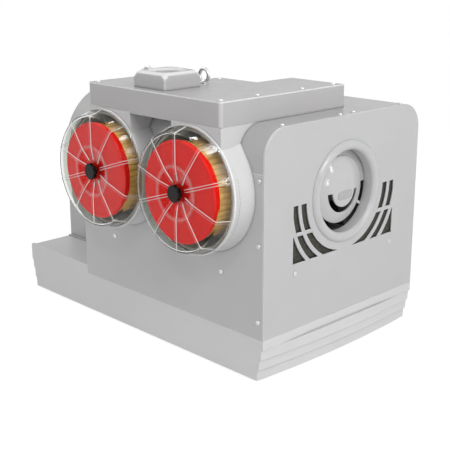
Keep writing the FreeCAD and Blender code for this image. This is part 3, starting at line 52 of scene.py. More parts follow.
import bmesh
import bpy
from bpy.props import FloatProperty, FloatVectorProperty, IntProperty, PointerProperty
from mathutils import Vector
from mathutils.bvhtree import BVHTree

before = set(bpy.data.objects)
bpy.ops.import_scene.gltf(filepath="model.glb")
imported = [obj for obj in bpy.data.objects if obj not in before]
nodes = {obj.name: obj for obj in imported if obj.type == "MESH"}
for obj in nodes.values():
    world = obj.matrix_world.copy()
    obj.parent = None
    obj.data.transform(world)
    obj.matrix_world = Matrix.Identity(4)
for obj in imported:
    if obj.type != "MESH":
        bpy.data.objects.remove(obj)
cad_low, cad_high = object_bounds()

SIDES = ("right", "left")

# The frame brings plain materials under the names of its slots, so a finish has this ending.
FINISH = "_finish"

# Colour of the highlights that are painted onto the edges of the coated parts.
EDGE_HIGHLIGHT = (0.98, 0.98, 0.98)

# Measures are in metres. Drums: the bare bore, and how far it reaches past the cartridge's rear cap.
BORE_RADIUS = 0.134
BARE_BEHIND_CAP = 0.004

# Fan grille: the backing behind its spokes, and the bare pad from its middle.
BACKING_DEPTH = 0.0026
SPOKE_HALF_WIDTH = 0.0035
PAD_SHIFT = 0.003
PAD_DROP = 0.0095

# Foam mat behind the slots.
MAT_HALF_WIDTH = 0.185
MAT_HALF_HEIGHT = 0.150
MAT_THICKNESS = 0.006
MAT_BEHIND_PANEL = 0.0045

# How far a screw's head reaches down from the top of the CAD screw.
HEAD_SEAT = 0.0026

# Clear covers.
HUB_RADIUS = 0.022
KNOB_BORE = 0.006
COVER_BEAD = 0.002
RIB_RISE = 0.001

# Closing sheet beside the left drum: its bend, its sheet, and the drum's shoulder that it meets.
SHOULDER_BEND = 0.060
SHOULDER_SHEET = 0.003
SHOULDER_RADIUS = 0.157

FLOOR_REACH = 14.0
FLOOR_DROP = 0.0005

# Section of half a cover rib: share of its half width, and share of its height there.
RIB_SECTION = ((0.0, 1.0), (0.50, 1.0), (0.68, 0.97), (0.80, 0.72), (0.90, 0.22), (1.0, 0.03), (1.08, 0.0))
RIB_FOOT = RIB_SECTION[-1][0]
GAP_STEPS = 6
# Vertex attribute that tells the clear plastic where to paint highlights: along the sides of the ribs and on the
# edge of the dish.
RIB_HIGHLIGHTS = "rib_highlights"

# Light of the world and glow of the floor, where 1 is white.
SKY_LIGHT = 0.37
FLOOR_GLOW = 0.92


def filter_axis(side):
    """Place of a filter's middle line, in X and Z."""
    low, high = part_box("cartridge_front_cap_" + side)
    return (low.x + high.x) / 2, (low.z + high.z) / 2


# Settings


class PumpColours(bpy.types.PropertyGroup):
    panel: FloatVectorProperty(name="Panels", description="Paint of the flat sheet panels",
                               subtype="COLOR", size=3, min=0, max=1, default=(0.61, 0.61, 0.615))
    # The hoods take the panel paint, darkened as painted shade.
    hood: FloatVectorProperty(name="Hoods", description="Paint of the rounded hoods",
                              subtype="COLOR", size=3, min=0, max=1, default=(0.535, 0.537, 0.533))
    base: FloatVectorProperty(name="Base", description="Paint of the stepped base tray",
                              subtype="COLOR", size=3, min=0, max=1, default=(0.77, 0.765, 0.77))
    casting: FloatVectorProperty(name="Lid", description="Paint of the suction lid and inlet block",
                                 subtype="COLOR", size=3, min=0, max=1, default=(0.55, 0.54, 0.545))
    drum: FloatVectorProperty(name="Drums", description="Paint of the filter drums",
                              subtype="COLOR", size=3, min=0, max=1, default=(0.70, 0.70, 0.705))
    bowl: FloatVectorProperty(name="Bowls", description="Bare inside of the filter drums",
                              subtype="COLOR", size=3, min=0, max=1, default=(0.30, 0.31, 0.27))
    red: FloatVectorProperty(name="Cartridge caps", description="Moulded end caps of the cartridges",
                             subtype="COLOR", size=3, min=0, max=1, default=(0.84, 0.012, 0.007))
    paper: FloatVectorProperty(name="Paper", description="Pleated paper of the cartridges",
                               subtype="COLOR", size=3, min=0, max=1, default=(1.0, 0.56, 0.16))
    clear: FloatVectorProperty(name="Clear covers", description="Tint of the clear plastic",
                               subtype="COLOR", size=3, min=0, max=1, default=(0.93, 0.95, 0.94))
    # Colour of the painted reflection of the dark bowl in the covers' side walls, on the side towards -X.
    painted_wall_reflection: FloatVectorProperty(name="Cover walls", description="Tint of the covers' side walls",
                                    subtype="COLOR", size=3, min=0, max=1, default=(0.58, 0.60, 0.54))
    dark: FloatVectorProperty(name="Knobs", description="Moulded hand knobs",
                              subtype="COLOR", size=3, min=0, max=1, default=(0.009, 0.008, 0.007))
    backdrop: FloatVectorProperty(name="Backdrop", description="Floor and backdrop",
                                  subtype="COLOR", size=3, min=0, max=1, default=(0.85, 0.85, 0.85))


class PumpSizes(bpy.types.PropertyGroup):
    ribs: IntProperty(name="Cover ribs", description="Radial ribs of each clear cover", default=10, min=3, max=24)
    rib_width: FloatProperty(name="Rib width", description="Width of a cover's rib",
                             default=0.0072, min=0.002, max=0.01, unit="LENGTH")
    cover_wall: FloatProperty(name="Cover wall", description="Wall of the clear covers",
                              default=0.003, min=0.001, max=0.006, unit="LENGTH")
    cover_dish: FloatProperty(name="Cover dish", description="Radius of the dished centre of the covers",
                              default=0.055, min=0.03, max=0.09, unit="LENGTH")
    pleats: IntProperty(name="Pleats", description="Folds round each cartridge", default=52, min=20, max=90)
    pleat_depth: FloatProperty(name="Pleat depth", description="Radial depth of the folds",
                               default=0.008, min=0.003, max=0.03, unit="LENGTH")
    head_radius: FloatProperty(name="Screw head", description="Radius of the pan heads",
                               default=0.005, min=0.002, max=0.01, unit="LENGTH")
    pad_width: FloatProperty(name="Bare pad", description="Width of the bare pad on the fan hub",
                             default=0.048, min=0.01, max=0.06, unit="LENGTH")


def colours():
    """The colours that the user can change."""
    return bpy.context.scene.pump_colours


def sizes():
    """The sizes that the user can change."""
    return bpy.context.scene.pump_sizes


# Materials


def finished(name):
    """The finish that the finishes' operator made under a name."""
    return bpy.data.materials[name + FINISH]


class Finish:
    """A principled material under construction, with helpers for its nodes."""

    def __init__(self, name, colour, roughness, metallic=0.0):
        self.material = bpy.data.materials.new(name + FINISH)
        self.material.use_nodes = True
        self.tree = self.material.node_tree
        self.tree.nodes.clear()
        self.output = self.tree.nodes.new("ShaderNodeOutputMaterial")
        self.shader = self.tree.nodes.new("ShaderNodeBsdfPrincipled")
        self.join(self.shader.outputs["BSDF"], self.output.inputs["Surface"])
        self.colour = tuple(colour)
        self.shader.inputs["Base Color"].default_value = (*self.colour, 1)
        self.roughness = roughness
        self.shader.inputs["Roughness"].default_value = roughness
        self.shader.inputs["Metallic"].default_value = metallic
        self.place = self.tree.nodes.new("ShaderNodeTexCoord").outputs["Object"]
        self.normal = None
        self.tint = None

    def join(self, source, target):
        """Links two sockets."""
        self.tree.links.new(source, target)

    def noise(self, scale, detail, stretch=(1, 1, 1)):
        """Noise in metres; the stretch lengthens its grain along an axis."""
        mapping = self.tree.nodes.new("ShaderNodeMapping")
        mapping.inputs["Scale"].default_value = [1 / s for s in stretch]
        self.join(self.place, mapping.inputs["Vector"])
        texture = self.tree.nodes.new("ShaderNodeTexNoise")
        texture.inputs["Scale"].default_value = scale
        texture.inputs["Detail"].default_value = detail
        self.join(mapping.outputs["Vector"], texture.inputs["Vector"])
        return texture.outputs["Fac"]

    def span(self, value, low, high, to_low, to_high):
        """Maps a value from one range to another and holds it inside that."""
        ranged = self.tree.nodes.new("ShaderNodeMapRange")
        ranged.inputs["From Min"].default_value = low
        ranged.inputs["From Max"].default_value = high
        ranged.inputs["To Min"].default_value = to_low
        ranged.inputs["To Max"].default_value = to_high
        self.join(value, ranged.inputs["Value"])
        return ranged.outputs["Result"]

    def split(self, vector):
        """The X, Y and Z of a vector."""
        node = self.tree.nodes.new("ShaderNodeSeparateXYZ")
        self.join(vector, node.inputs["Vector"])
        return node.outputs["X"], node.outputs["Y"], node.outputs["Z"]

    def true_normal(self):
        """The flat normal of a face, before any soft edge."""
        return self.tree.nodes.new("ShaderNodeNewGeometry").outputs["True Normal"]

    def math(self, operation, first, second=None):
        """One step of a calculation with sockets or numbers."""
        node = self.tree.nodes.new("ShaderNodeMath")
        node.operation = operation
        for socket, value in zip(node.inputs, (first, second)):
            if value is None:
                continue
            if isinstance(value, (int, float)):
                socket.default_value = value
            else:
                self.join(value, socket)
        return node.outputs["Value"]

    def mix(self, share, first, second):
        """Blends two colours, each a socket or a tuple."""
        node = self.tree.nodes.new("ShaderNodeMix")
        node.data_type = "RGBA"
        self.join(share, node.inputs["Factor"])
        for socket, value in ((node.inputs["A"], first), (node.inputs["B"], second)):
            if isinstance(value, tuple):
                socket.default_value = (*value[:3], 1)
            else:
                self.join(value, socket)
        return node.outputs["Result"]

    def base(self):
        """The colour so far: a socket once something has tinted it."""
        return self.tint if self.tint is not None else self.colour

    def mottle(self, value, amount):
        """Lets the colour drift by a share up and down with a noise."""
        dark = tuple(c * (1 - amount) for c in self.colour)
        light = tuple(min(1.0, c * (1 + amount)) for c in self.colour)
        self.tint = self.mix(self.span(value, 0.3, 0.7, 0, 1), dark, light)

    def stain_and_painted_light(self, share, colour):
        """Covers the colour so far with another one by a share; it lays both real stains and painted highlights
        and shade.
        """
        self.tint = self.mix(share, self.base(), tuple(colour))

    def gloss(self, value, spread):
        """Lets the roughness drift up and down with a noise."""
        self.join(self.span(value, 0.3, 0.7, self.roughness - spread, self.roughness + spread),
                  self.shader.inputs["Roughness"])

    def rounded_edges(self, radius):
        """Softens the sharp edges by shading alone."""
        bevel = self.tree.nodes.new("ShaderNodeBevel")
        bevel.samples = 4
        bevel.inputs["Radius"].default_value = radius
        self.normal = bevel.outputs["Normal"]

    def painted_edge_highlights(self, colour, reach):
        """Paints a highlight on the soft edges, where the bevelled normal leaves the flat one."""
        dot = self.tree.nodes.new("ShaderNodeVectorMath")
        dot.operation = "DOT_PRODUCT"
        self.join(self.normal, dot.inputs[0])
        self.join(self.true_normal(), dot.inputs[1])
        self.stain_and_painted_light(self.span(dot.outputs["Value"], 1.0, 1.0 - reach, 0, 1), colour)

    def painted_level_edge_highlights(self, colour, corners):
        """Paints a highlight on the level edges of box-like parts, and by a share on their upright corners."""
        x, y, z = (self.math("ABSOLUTE", axis) for axis in self.split(self.normal))
        level = self.math("MULTIPLY", self.span(z, 0.28, 0.45, 0, 1), self.span(z, 0.998, 0.97, 0, 1))
        aside = self.math("MULTIPLY", self.span(x, 0.10, 0.30, 0, 1), self.span(y, 0.10, 0.30, 0, 1))
        upright = self.math("MULTIPLY", aside, self.span(z, 0.45, 0.25, 0, corners))
        self.stain_and_painted_light(self.math("MAXIMUM", level, upright), colour)

    def painted_band_highlight(self, top, width, colour):
        """Paints a highlight on the upper edge of the side faces, where a soft edge catches the light."""
        sideways = self.span(self.math("ABSOLUTE", self.split(self.true_normal())[2]), 0.2, 0.6, 1, 0)
        near = self.span(self.split(self.place)[2], top - width, top - width * 0.7, 0, 1)
        self.stain_and_painted_light(self.math("MULTIPLY", sideways, near), colour)

    def painted_crevice_shade(self, distance, colour, share):
        """Paints shade into the seams and corners, where little of the near sky is open."""
        near = self.tree.nodes.new("ShaderNodeAmbientOcclusion")
        near.samples = 6
        near.inputs["Distance"].default_value = distance
        self.stain_and_painted_light(self.span(near.outputs["AO"], 0.35, 0.85, share, 0), colour)

    def bump(self, height, distance, strength):
        """Fine relief over the soft edges."""
        node = self.tree.nodes.new("ShaderNodeBump")
        node.inputs["Distance"].default_value = distance
        node.inputs["Strength"].default_value = strength
        self.join(height, node.inputs["Height"])
        if self.normal is not None:
            self.join(self.normal, node.inputs["Normal"])
        self.normal = node.outputs["Normal"]

    def done(self, **sockets):
        """Joins colour and normal to the shader, sets more of its sockets and hands out the material."""
        if self.tint is not None:
            self.join(self.tint, self.shader.inputs["Base Color"])
        if self.normal is not None:
            self.join(self.normal, self.shader.inputs["Normal"])
        for name, value in sockets.items():
            self.shader.inputs[name.replace("_", " ").title().replace("Ior", "IOR")].default_value = value
        return self.material


def sprayed_paint(name, colour, roughness=0.34, edge=0.0024, boxy=False):
    """Powder coat: fine orange peel, faint clouding and a soft edge, with painted highlights on its edges and
    painted shade in its corners.
    """
    finish = Finish(name, colour, roughness)
    finish.mottle(finish.noise(7, 4), 0.018)
    finish.gloss(finish.noise(35, 3), 0.05)
    finish.rounded_edges(edge)
    # Painted highlights: on the level edges and upright corners of box-like parts, else on all soft edges.
    if boxy:
        finish.painted_level_edge_highlights(EDGE_HIGHLIGHT, 0.9)
    else:
        finish.painted_edge_highlights(EDGE_HIGHLIGHT, 0.08)
    # Painted shade in the corners and seams.
    finish.painted_crevice_shade(0.008, tuple(c * 0.25 for c in colour), 0.75)
    finish.bump(finish.noise(420, 2), 0.00008, 0.35)
    return finish.done()


def cast_paint(name, colour, top=None):
    """Paint over a sand casting: the coarser skin shows through; its edges, and below a given top its upper edge,
    get a painted highlight, and its corners painted shade.
    """
    finish = Finish(name, colour, 0.38)
    finish.mottle(finish.noise(9, 4), 0.022)
    finish.gloss(finish.noise(40, 3), 0.05)
    finish.rounded_edges(0.0038)
    # Painted highlights on the edges, and below the top on the upper edge of the sides.
    finish.painted_level_edge_highlights(EDGE_HIGHLIGHT, 0.3)
    if top is not None:
        finish.painted_band_highlight(top, 0.0028, EDGE_HIGHLIGHT)
    # Painted shade in the corners and seams.
    finish.painted_crevice_shade(0.008, tuple(c * 0.25 for c in colour), 0.75)
    finish.bump(finish.noise(170, 4), 0.00025, 0.35)
    return finish.done()


def drum_casting(side):
    """Light paint outside and a dark bare bore inside the bowl."""
    x, z = filter_axis(side)
    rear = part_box("cartridge_rear_cap_" + side)[1].y + BARE_BEHIND_CAP
    finish = Finish("drum_casting_" + side, colours().drum, 0.36)
    finish.mottle(finish.noise(9, 4), 0.02)
    place_x, place_y, place_z = finish.split(finish.place)
    across = finish.math("SUBTRACT", place_x, x)
    up = finish.math("SUBTRACT", place_z, z)
    distance = finish.math("SQRT", finish.math("ADD", finish.math("MULTIPLY", across, across),
                                               finish.math("MULTIPLY", up, up)))
    inside = finish.math("LESS_THAN", distance, BORE_RADIUS)
    mask = finish.math("MULTIPLY", inside, finish.math("LESS_THAN", place_y, rear))
    rings = finish.noise(26, 3, stretch=(1, 0.05, 1))
    bare = finish.mix(finish.span(rings, 0.3, 0.7, 0, 1), tuple(c * 0.75 for c in colours().bowl),
                      tuple(c * 1.3 for c in colours().bowl))
    finish.tint = finish.mix(mask, finish.tint, bare)
    finish.gloss(finish.noise(40, 3), 0.05)
    finish.rounded_edges(0.0016)
    # Painted shade in the corners and seams.
    finish.painted_crevice_shade(0.007, tuple(c * 0.3 for c in colours().drum), 0.75)
    finish.bump(finish.noise(170, 4), 0.0002, 0.35)
    return finish.done()


def turned_steel(name, colour, roughness):
    """Zinc or ground steel with faint directional scratches."""
    finish = Finish(name, colour, roughness, metallic=1.0)
    finish.mottle(finish.noise(160, 3), 0.06)
    finish.gloss(finish.noise(600, 2, stretch=(6, 1, 1)), 0.08)
    finish.rounded_edges(0.0004)
    finish.bump(finish.noise(900, 2, stretch=(8, 1, 1)), 0.00004, 0.4)
    return finish.done()


def raw_casting(name, colour, metallic, roughness=0.55):
    """Unpainted cast metal with a grainy skin."""
    finish = Finish(name, colour, roughness, metallic=metallic)
    finish.mottle(finish.noise(60, 5), 0.12)
    finish.gloss(finish.noise(110, 4), 0.1)
    finish.rounded_edges(0.001)
    finish.bump(finish.noise(380, 5), 0.0004, 0.5)
    return finish.done()


def moulded_plastic(name, colour, roughness, bump_scale=900, shine=0.5, ior=1.5, joints=False):
    """Moulded plastic with a fine spark texture; when asked, shade is painted into its seams and corners."""
    finish = Finish(name, colour, roughness)
    finish.mottle(finish.noise(30, 3), 0.02)
    finish.gloss(finish.noise(90, 3), min(0.05, roughness / 2))
    finish.rounded_edges(0.0008)
    if joints:
        # Painted shade in the seams and corners.
        finish.painted_crevice_shade(0.006, tuple(c * 0.25 for c in colour), 0.8)
    finish.bump(finish.noise(bump_scale, 2), 0.00005, 0.4)
    return finish.done(specular_ior_level=shine, ior=ior)


def grille_plastic():
    """Glossy moulding of the fan grille; painted shade darkens its sunk backing between the spokes, and its
    corners.
    """
    low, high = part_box("fan_grille")
    colour = (0.62, 0.62, 0.625)
    finish = Finish("grille_plastic", colour, 0.10)
    finish.mottle(finish.noise(30, 3), 0.02)
    x, y, z = finish.split(finish.place)
    sunk = finish.math("LESS_THAN", x, low.x + BACKING_DEPTH)
    above = finish.math("GREATER_THAN", z, (low.z + high.z) / 2)
    aside = finish.math("ABSOLUTE", finish.math("SUBTRACT", y, (low.y + high.y) / 2))
    between = finish.math("GREATER_THAN", aside, SPOKE_HALF_WIDTH)
    backing = finish.math("MULTIPLY", finish.math("MULTIPLY", sunk, above), between)
    # Painted shade on the sunk backing above the middle, between the spokes.
    finish.stain_and_painted_light(finish.math("MULTIPLY", backing, 0.45), tuple(c * 0.45 for c in colour))
    finish.gloss(finish.noise(90, 3), 0.04)
    finish.rounded_edges(0.0012)
    # Painted shade in the corners and seams.
    finish.painted_crevice_shade(0.006, tuple(c * 0.25 for c in colour), 0.8)
    finish.bump(finish.noise(500, 2), 0.00005, 0.4)
    return finish.done()


def soft_rubber(name):
    """Matt black rubber."""
    finish = Finish(name, (0.022, 0.022, 0.024), 0.75)
    finish.mottle(finish.noise(80, 4), 0.25)
    finish.gloss(finish.noise(120, 3), 0.1)
    finish.bump(finish.noise(1400, 3), 0.0001, 0.5)
    return finish.done()


def pleated_paper():
    """Resin-treated paper: fibres, blotches of resin and a warm tone."""
    finish = Finish("filter_paper", colours().paper, 0.72)
    finish.mottle(finish.noise(260, 6), 0.16)
    blotch = finish.span(finish.noise(75, 4), 0.55, 0.72, 0, 0.45)
    finish.stain_and_painted_light(blotch, (0.80, 0.52, 0.24))
    finish.bump(finish.noise(1500, 4, stretch=(1, 4, 1)), 0.0002, 0.6)
    return finish.done()


def clear_plastic(side):
    """Polished acrylic with faint haze: a painted reflection of the dark bowl on one side of the wall, and a
    bead, rib sides and dish edge painted near-white and half opaque as highlights.
    """
    low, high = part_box("filter_cover_" + side)
    middle = filter_axis(side)[0]
    finish = Finish("clear_cover_" + side, colours().clear, 0.03)
    finish.gloss(finish.noise(20, 3), 0.015)
    finish.bump(finish.noise(45, 2), 0.0003, 0.12)
    x, y, _ = finish.split(finish.place)
    # The side wall towards -X takes a painted reflection of the dark bowl.
    wall = finish.span(y, low.y + 0.009, low.y + 0.016, 0, 1)
    painted_light = finish.span(x, middle - 0.02, middle + 0.06, 1, 0)
    finish.stain_and_painted_light(finish.math("MULTIPLY", wall, painted_light), colours().painted_wall_reflection)
    # Painted highlight: the bead turns near-white.
    bead = finish.span(y, high.y - 0.0046, high.y - 0.0040, 0, 1)
    finish.stain_and_painted_light(bead, (0.95, 0.95, 0.95))
    # Painted highlights along the sides of the ribs and on the edge of the dish.
    highlight_attribute = finish.tree.nodes.new("ShaderNodeAttribute")
    highlight_attribute.attribute_name = RIB_HIGHLIGHTS
    highlight_lines = highlight_attribute.outputs["Fac"]
    finish.stain_and_painted_light(highlight_lines, (1.0, 0.98, 0.97))
    # The bead and the painted highlights are made partly opaque, so that their colour shows.
    solid = finish.math("MAXIMUM", finish.math("MULTIPLY", bead, 0.7), finish.math("MULTIPLY", highlight_lines, 0.72))
    finish.join(finish.math("SUBTRACT", 1.0, solid), finish.shader.inputs["Transmission Weight"])
    finish.join(finish.mix(wall, (0.05, 0.05, 0.05), (0.7, 0.7, 0.7)), finish.shader.inputs["Specular Tint"])
    return finish.done(ior=1.37)


def filter_mat():
    """Open-cell foam mat behind the slots of the end panel."""
    finish = Finish("filter_mat", (0.060, 0.056, 0.046), 0.9)
    finish.mottle(finish.noise(130, 5), 0.45)
    # Painted shade in the hollows and corners of the foam.
    finish.painted_crevice_shade(0.014, (0.004, 0.004, 0.003), 0.95)
    finish.bump(finish.noise(900, 4), 0.0008, 0.8)
    return finish.done()


def dress(material, *names):
    """Gives CAD nodes their finish."""
    for name in names:
        mesh = nodes[name].data
        if not mesh.materials:
            mesh.materials.append(material)
        for index in range(len(mesh.materials)):
            mesh.materials[index] = material


def piece(name, builder, material, body, smooth):
    """Turns a filled bmesh into a piece that rides on a body; edges over the smooth angle stay sharp."""
    mesh = bpy.data.meshes.new(name)
    builder.normal_update()
    builder.to_mesh(mesh)
    builder.free()
    made = bpy.data.objects.new(name, mesh)
    bpy.context.scene.collection.objects.link(made)
    mesh.materials.append(material)
    if smooth:
        mesh.polygons.foreach_set("use_smooth", [True] * len(mesh.polygons))
        mesh.set_sharp_from_angle(angle=smooth)
    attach(made, body)
    return made


def ring_faces(builder, rings, closed=True):
    """Bridges lists of vertices into quads, closed into rings or left open as a sheet."""
    for first, second in zip(rings, rings[1:]):
        count = len(first)
        for k in range(count if closed else count - 1):
            n = (k + 1) % count
            builder.faces.new((first[k], first[n], second[n], second[k]))


# Fine parts


def pleat_ring(side):
    """Accordion paper with broad rounded folds and narrow valleys, in place of the CAD zigzag."""
    low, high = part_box("cartridge_pleats_" + side)
    x, z = filter_axis(side)
    outer = (high.x - low.x) / 2 - 0.0012
    count = sizes().pleats
    depth = sizes().pleat_depth
    steps, rows = 12, 28
    end_gap = 0.0002
    builder = bmesh.new()
    rings = []
    for row in range(rows + 1):
        share = row / rows
        y = low.y + end_gap + (high.y - low.y - 2 * end_gap) * share
        ring = []
        for k in range(count * steps):
            fold, step = divmod(k, steps)
            wave = abs(2 * step / steps - 1)
            crown = 1 - wave ** 9
            sway = 0.05 * math.sin(2 * math.pi * share + fold * 1.7)
            wobble = 0.0006 * math.sin(9 * share + fold * 2.3)
            radius = outer - depth * (1 - crown) + wobble * crown
            angle = 2 * math.pi * (k / steps + sway * (1 - wave)) / count
            ring.append(builder.verts.new((x + radius * math.cos(angle), y, z + radius * math.sin(angle))))
        rings.append(ring)
    ring_faces(builder, rings)
    made = piece("paper_" + side, builder, finished("filter_paper"),
                 "cartridge_" + side, smooth=0)
    made.data.polygons.foreach_set("use_smooth", [True] * len(made.data.polygons))
    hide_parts("cartridge_pleats_" + side)


def filleted(corners):
    """Polyline with rounded corners from (radius, y, fillet) triples."""
    steps = 5
    points = []
    last = len(corners) - 1
    for k, (radius, y, fillet) in enumerate(corners):
        here = Vector((radius, y))
        if k in (0, last) or fillet == 0:
            points.append(here)
            continue
        before = (Vector(corners[k - 1][:2]) - here).normalized()
        after = (Vector(corners[k + 1][:2]) - here).normalized()
        half = before.angle(after) / 2
        cut = fillet / math.tan(half)
        centre = here + (before + after).normalized() * (fillet / math.sin(half))
        start = here + before * cut - centre
        end = here + after * cut - centre
        for step in range(steps + 1):
            share = step / steps
            points.append(centre + (start * (1 - share) + end * share).normalized() * fillet)
    return points


def divided(points, longest):
    """Adds points so that no run of a polyline is longer than asked."""
    out = [points[0]]
    for first, second in zip(points, points[1:]):
        parts = max(1, math.ceil((second - first).length / longest))
        out += [first.lerp(second, (k + 1) / parts) for k in range(parts)]
    return out


def around(radius):
    """Directions round a cover with their share of the rib height, dense across each rib."""
    count = sizes().ribs
    limit = math.pi / count
    section = [(-share, height) for share, height in reversed(RIB_SECTION[1:])] + list(RIB_SECTION)
    edge = min(math.asin(min(1.0, sizes().rib_width / 2 * RIB_FOOT / radius)), limit * 0.8)
    spots = []
    for k in range(count):
        middle = math.pi / 2 + 2 * limit * k
        for share, height in section:
            spots.append((middle + edge * share / RIB_FOOT, height))
        for step in range(1, GAP_STEPS):
            spots.append((middle + edge + (2 * limit - 2 * edge) * step / GAP_STEPS, 0.0))
    return spots


def clear_cover(side):
    """Clear cover with rounded ribs, a dished centre and a bead, in place of the CAD cover."""
    low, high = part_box("filter_cover_" + side)
    x, z = filter_axis(side)
    wall, dish = sizes().cover_wall, sizes().cover_dish
    face, rear = low.y + RIB_RISE, high.y
    ledge = rear - 2 * COVER_BEAD
    rim = (high.x - low.x) / 2
    side_rim = rim - COVER_BEAD - 0.0005
    corner = side_rim - 0.0105
    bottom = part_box("cover_knob_" + side)[1].y + 0.0003
    outside = filleted([(KNOB_BORE, bottom, 0), (HUB_RADIUS, bottom, 0.004), (dish, face, 0.003),
                        (corner, face, 0.0065), (side_rim, ledge, 0.0008), (rim, ledge, 0.0012),
                        (rim, rear - 0.0002, 0)])
    inside = filleted([(side_rim - wall, rear - 0.0002, 0), (side_rim - wall, ledge, 0.001),
                       (corner - wall, face + wall, 0.004), (dish, face + wall, 0.003),
                       (HUB_RADIUS, bottom + wall, 0.003), (KNOB_BORE, bottom + wall, 0)])
    outside = divided(outside, 0.006)
    inside = divided(inside, 0.012)

    def rib_at(point):
        """Height of the ribs over a spot of the profile: they run from the hub to the bead."""
        if point.x < HUB_RADIUS:
            return 0.0
        start = min(1.0, (point.x - HUB_RADIUS) / 0.004)
        end = max(0.0, min(1.0, (ledge - 0.001 - point.y) / 0.003))
        inner = max(0.0, min(1.0, (dish - point.x) / (dish - HUB_RADIUS)))
        return start * end * (RIB_RISE + 0.0014 * inner)

    builder = bmesh.new()
    # This layer marks where the clear plastic paints highlights.
    painted_light = builder.verts.layers.float.new(RIB_HIGHLIGHTS)
    rings = []
    for k, point in enumerate(outside):
        along = outside[min(k + 1, len(outside) - 1)] - outside[max(k - 1, 0)]
        normal = Vector((along.y, -along.x)).normalized()
        rib = rib_at(point)
        # A faint painted highlight runs round the edge of the dish.
        dish_highlight = 0.28 if abs(point.x - dish) < 0.0013 else 0.0
        ring = []
        for angle, height in around(point.x):
            radius = point.x + normal.x * rib * height
            y = point.y + normal.y * rib * height
            vert = builder.verts.new((x + radius * math.cos(angle), y, z + radius * math.sin(angle)))
            # Painted highlights on the sloping sides of the raised ribs.
            rib_highlight = 1.0 if 0.1 < height < 0.99 and rib > RIB_RISE / 2 else 0.0
            vert[painted_light] = max(rib_highlight, dish_highlight)
            ring.append(vert)
        rings.append(ring)
    for point in inside:
        rings.append([builder.verts.new((x + point.x * math.cos(angle), point.y, z + point.x * math.sin(angle)))
                      for angle, _ in around(point.x)])
    ring_faces(builder, rings + [rings[0]])
    bmesh.ops.recalc_face_normals(builder, faces=builder.faces)
    made = piece("clear_cover_" + side, builder, finished("clear_cover_" + side), "cover_" + side,
                 smooth=0.6)
    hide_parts("filter_cover_" + side)


def shoulder_sheet():
    """Curved sheet that closes the casing between the left hood, the left drum and the front hood."""
    x, z = filter_axis("left")
    hood_low, hood_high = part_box("hood_front")
    middle = hood_high.z - SHOULDER_BEND
    lower, upper = 0.010, SHOULDER_BEND * 0.955
    near = hood_low.x + 0.001
    steps = 10
    builder = bmesh.new()
    layers = []
    for radius in (SHOULDER_BEND, SHOULDER_BEND - SHOULDER_SHEET):
        grid = []
        for row in range(steps + 1):
            up = middle + lower + (upper - lower) * row / steps
            far = x - math.sqrt(max(0.0, SHOULDER_RADIUS ** 2 - (up - z) ** 2))
            y = hood_low.y + SHOULDER_BEND - math.sqrt(max(0.0, radius ** 2 - min(up - middle, radius) ** 2))
            grid.append([builder.verts.new((far + (near - far) * column / steps, y, up))
                         for column in range(steps + 1)])
        layers.append(grid)
    for grid in layers:
        ring_faces(builder, grid, closed=False)
    borders = [(grid[0], [row[-1] for row in grid], grid[-1], [row[0] for row in grid]) for grid in layers]
    for line, under in zip(*borders):
        ring_faces(builder, [line, under], closed=False)
    bmesh.ops.recalc_face_normals(builder, faces=builder.faces)
    # The sheet takes the hoods' paint, darkened as painted shade.
    piece("shoulder_sheet", builder, finished("panel_paint"), "chassis", smooth=0.7)


def screw_head(builder, centre, out, radius, turn):
    """Pan head with a domed top and a cross recess."""
    out = out.normalized()
    across = out.orthogonal().normalized()
    side = out.cross(across)

    def directions(angle):
        """Unit vectors along an angle round the head, and square to it."""
        c, s = math.cos(angle), math.sin(angle)
        return across * c + side * s, side * c - across * s

    segments = 24
    flatten = 0.78
    profile = ((0.0, 1.0), (0.35, 1.0), (0.52, 0.93), (0.62, 0.75), (0.66, 0.5))
    rings = []
    for level, share in profile:
        rings.append([builder.verts.new(centre + out * (level * radius * flatten)
                                        + directions(turn + 2 * math.pi * k / segments)[0] * radius * share)
                      for k in range(segments)])
    ring_faces(builder, rings)
    height = radius * profile[-1][0]
    top = centre + out * height * flatten
    arm, half, deep = radius * 0.42, radius * 0.11, height * 0.45
    cross = []
    for quarter in range(4):
        forward, left = directions(turn + quarter * math.pi / 2)
        cross += [top + forward * arm - left * half, top + forward * arm + left * half,
                  top + forward * half + left * half]
    rim = [builder.verts.new(spot + out * height * 0.02) for spot in cross]
    sunk = [builder.verts.new(spot - out * deep + (top - spot) * 0.25) for spot in cross]
    ring_faces(builder, [rim, sunk])
    builder.faces.new(sunk)
    edges = [builder.edges.get((loop[k], loop[(k + 1) % len(loop)])) for loop in (rings[-1], rim)
             for k in range(len(loop))]
    bmesh.ops.triangle_fill(builder, edges=edges, use_beauty=True)


def screw_boxes(node):
    """Low and high corner of each screw in a grouped CAD node."""
    builder = bmesh.new()
    builder.from_mesh(nodes[node].data)
    bmesh.ops.remove_doubles(builder, verts=builder.verts, dist=1e-6)
    seen = set()
    found = []
    for start in builder.verts:
        if start in seen:
            continue
        seen.add(start)
        spots = []
        stack = [start]
        while stack:
            vert = stack.pop()
            spots.append(vert.co.copy())
            for edge in vert.link_edges:
                other = edge.other_vert(vert)
                if other not in seen:
                    seen.add(other)
                    stack.append(other)
        found.append((Vector([min(spot[axis] for spot in spots) for axis in range(3)]),
                      Vector([max(spot[axis] for spot in spots) for axis in range(3)])))
    builder.free()
    return found


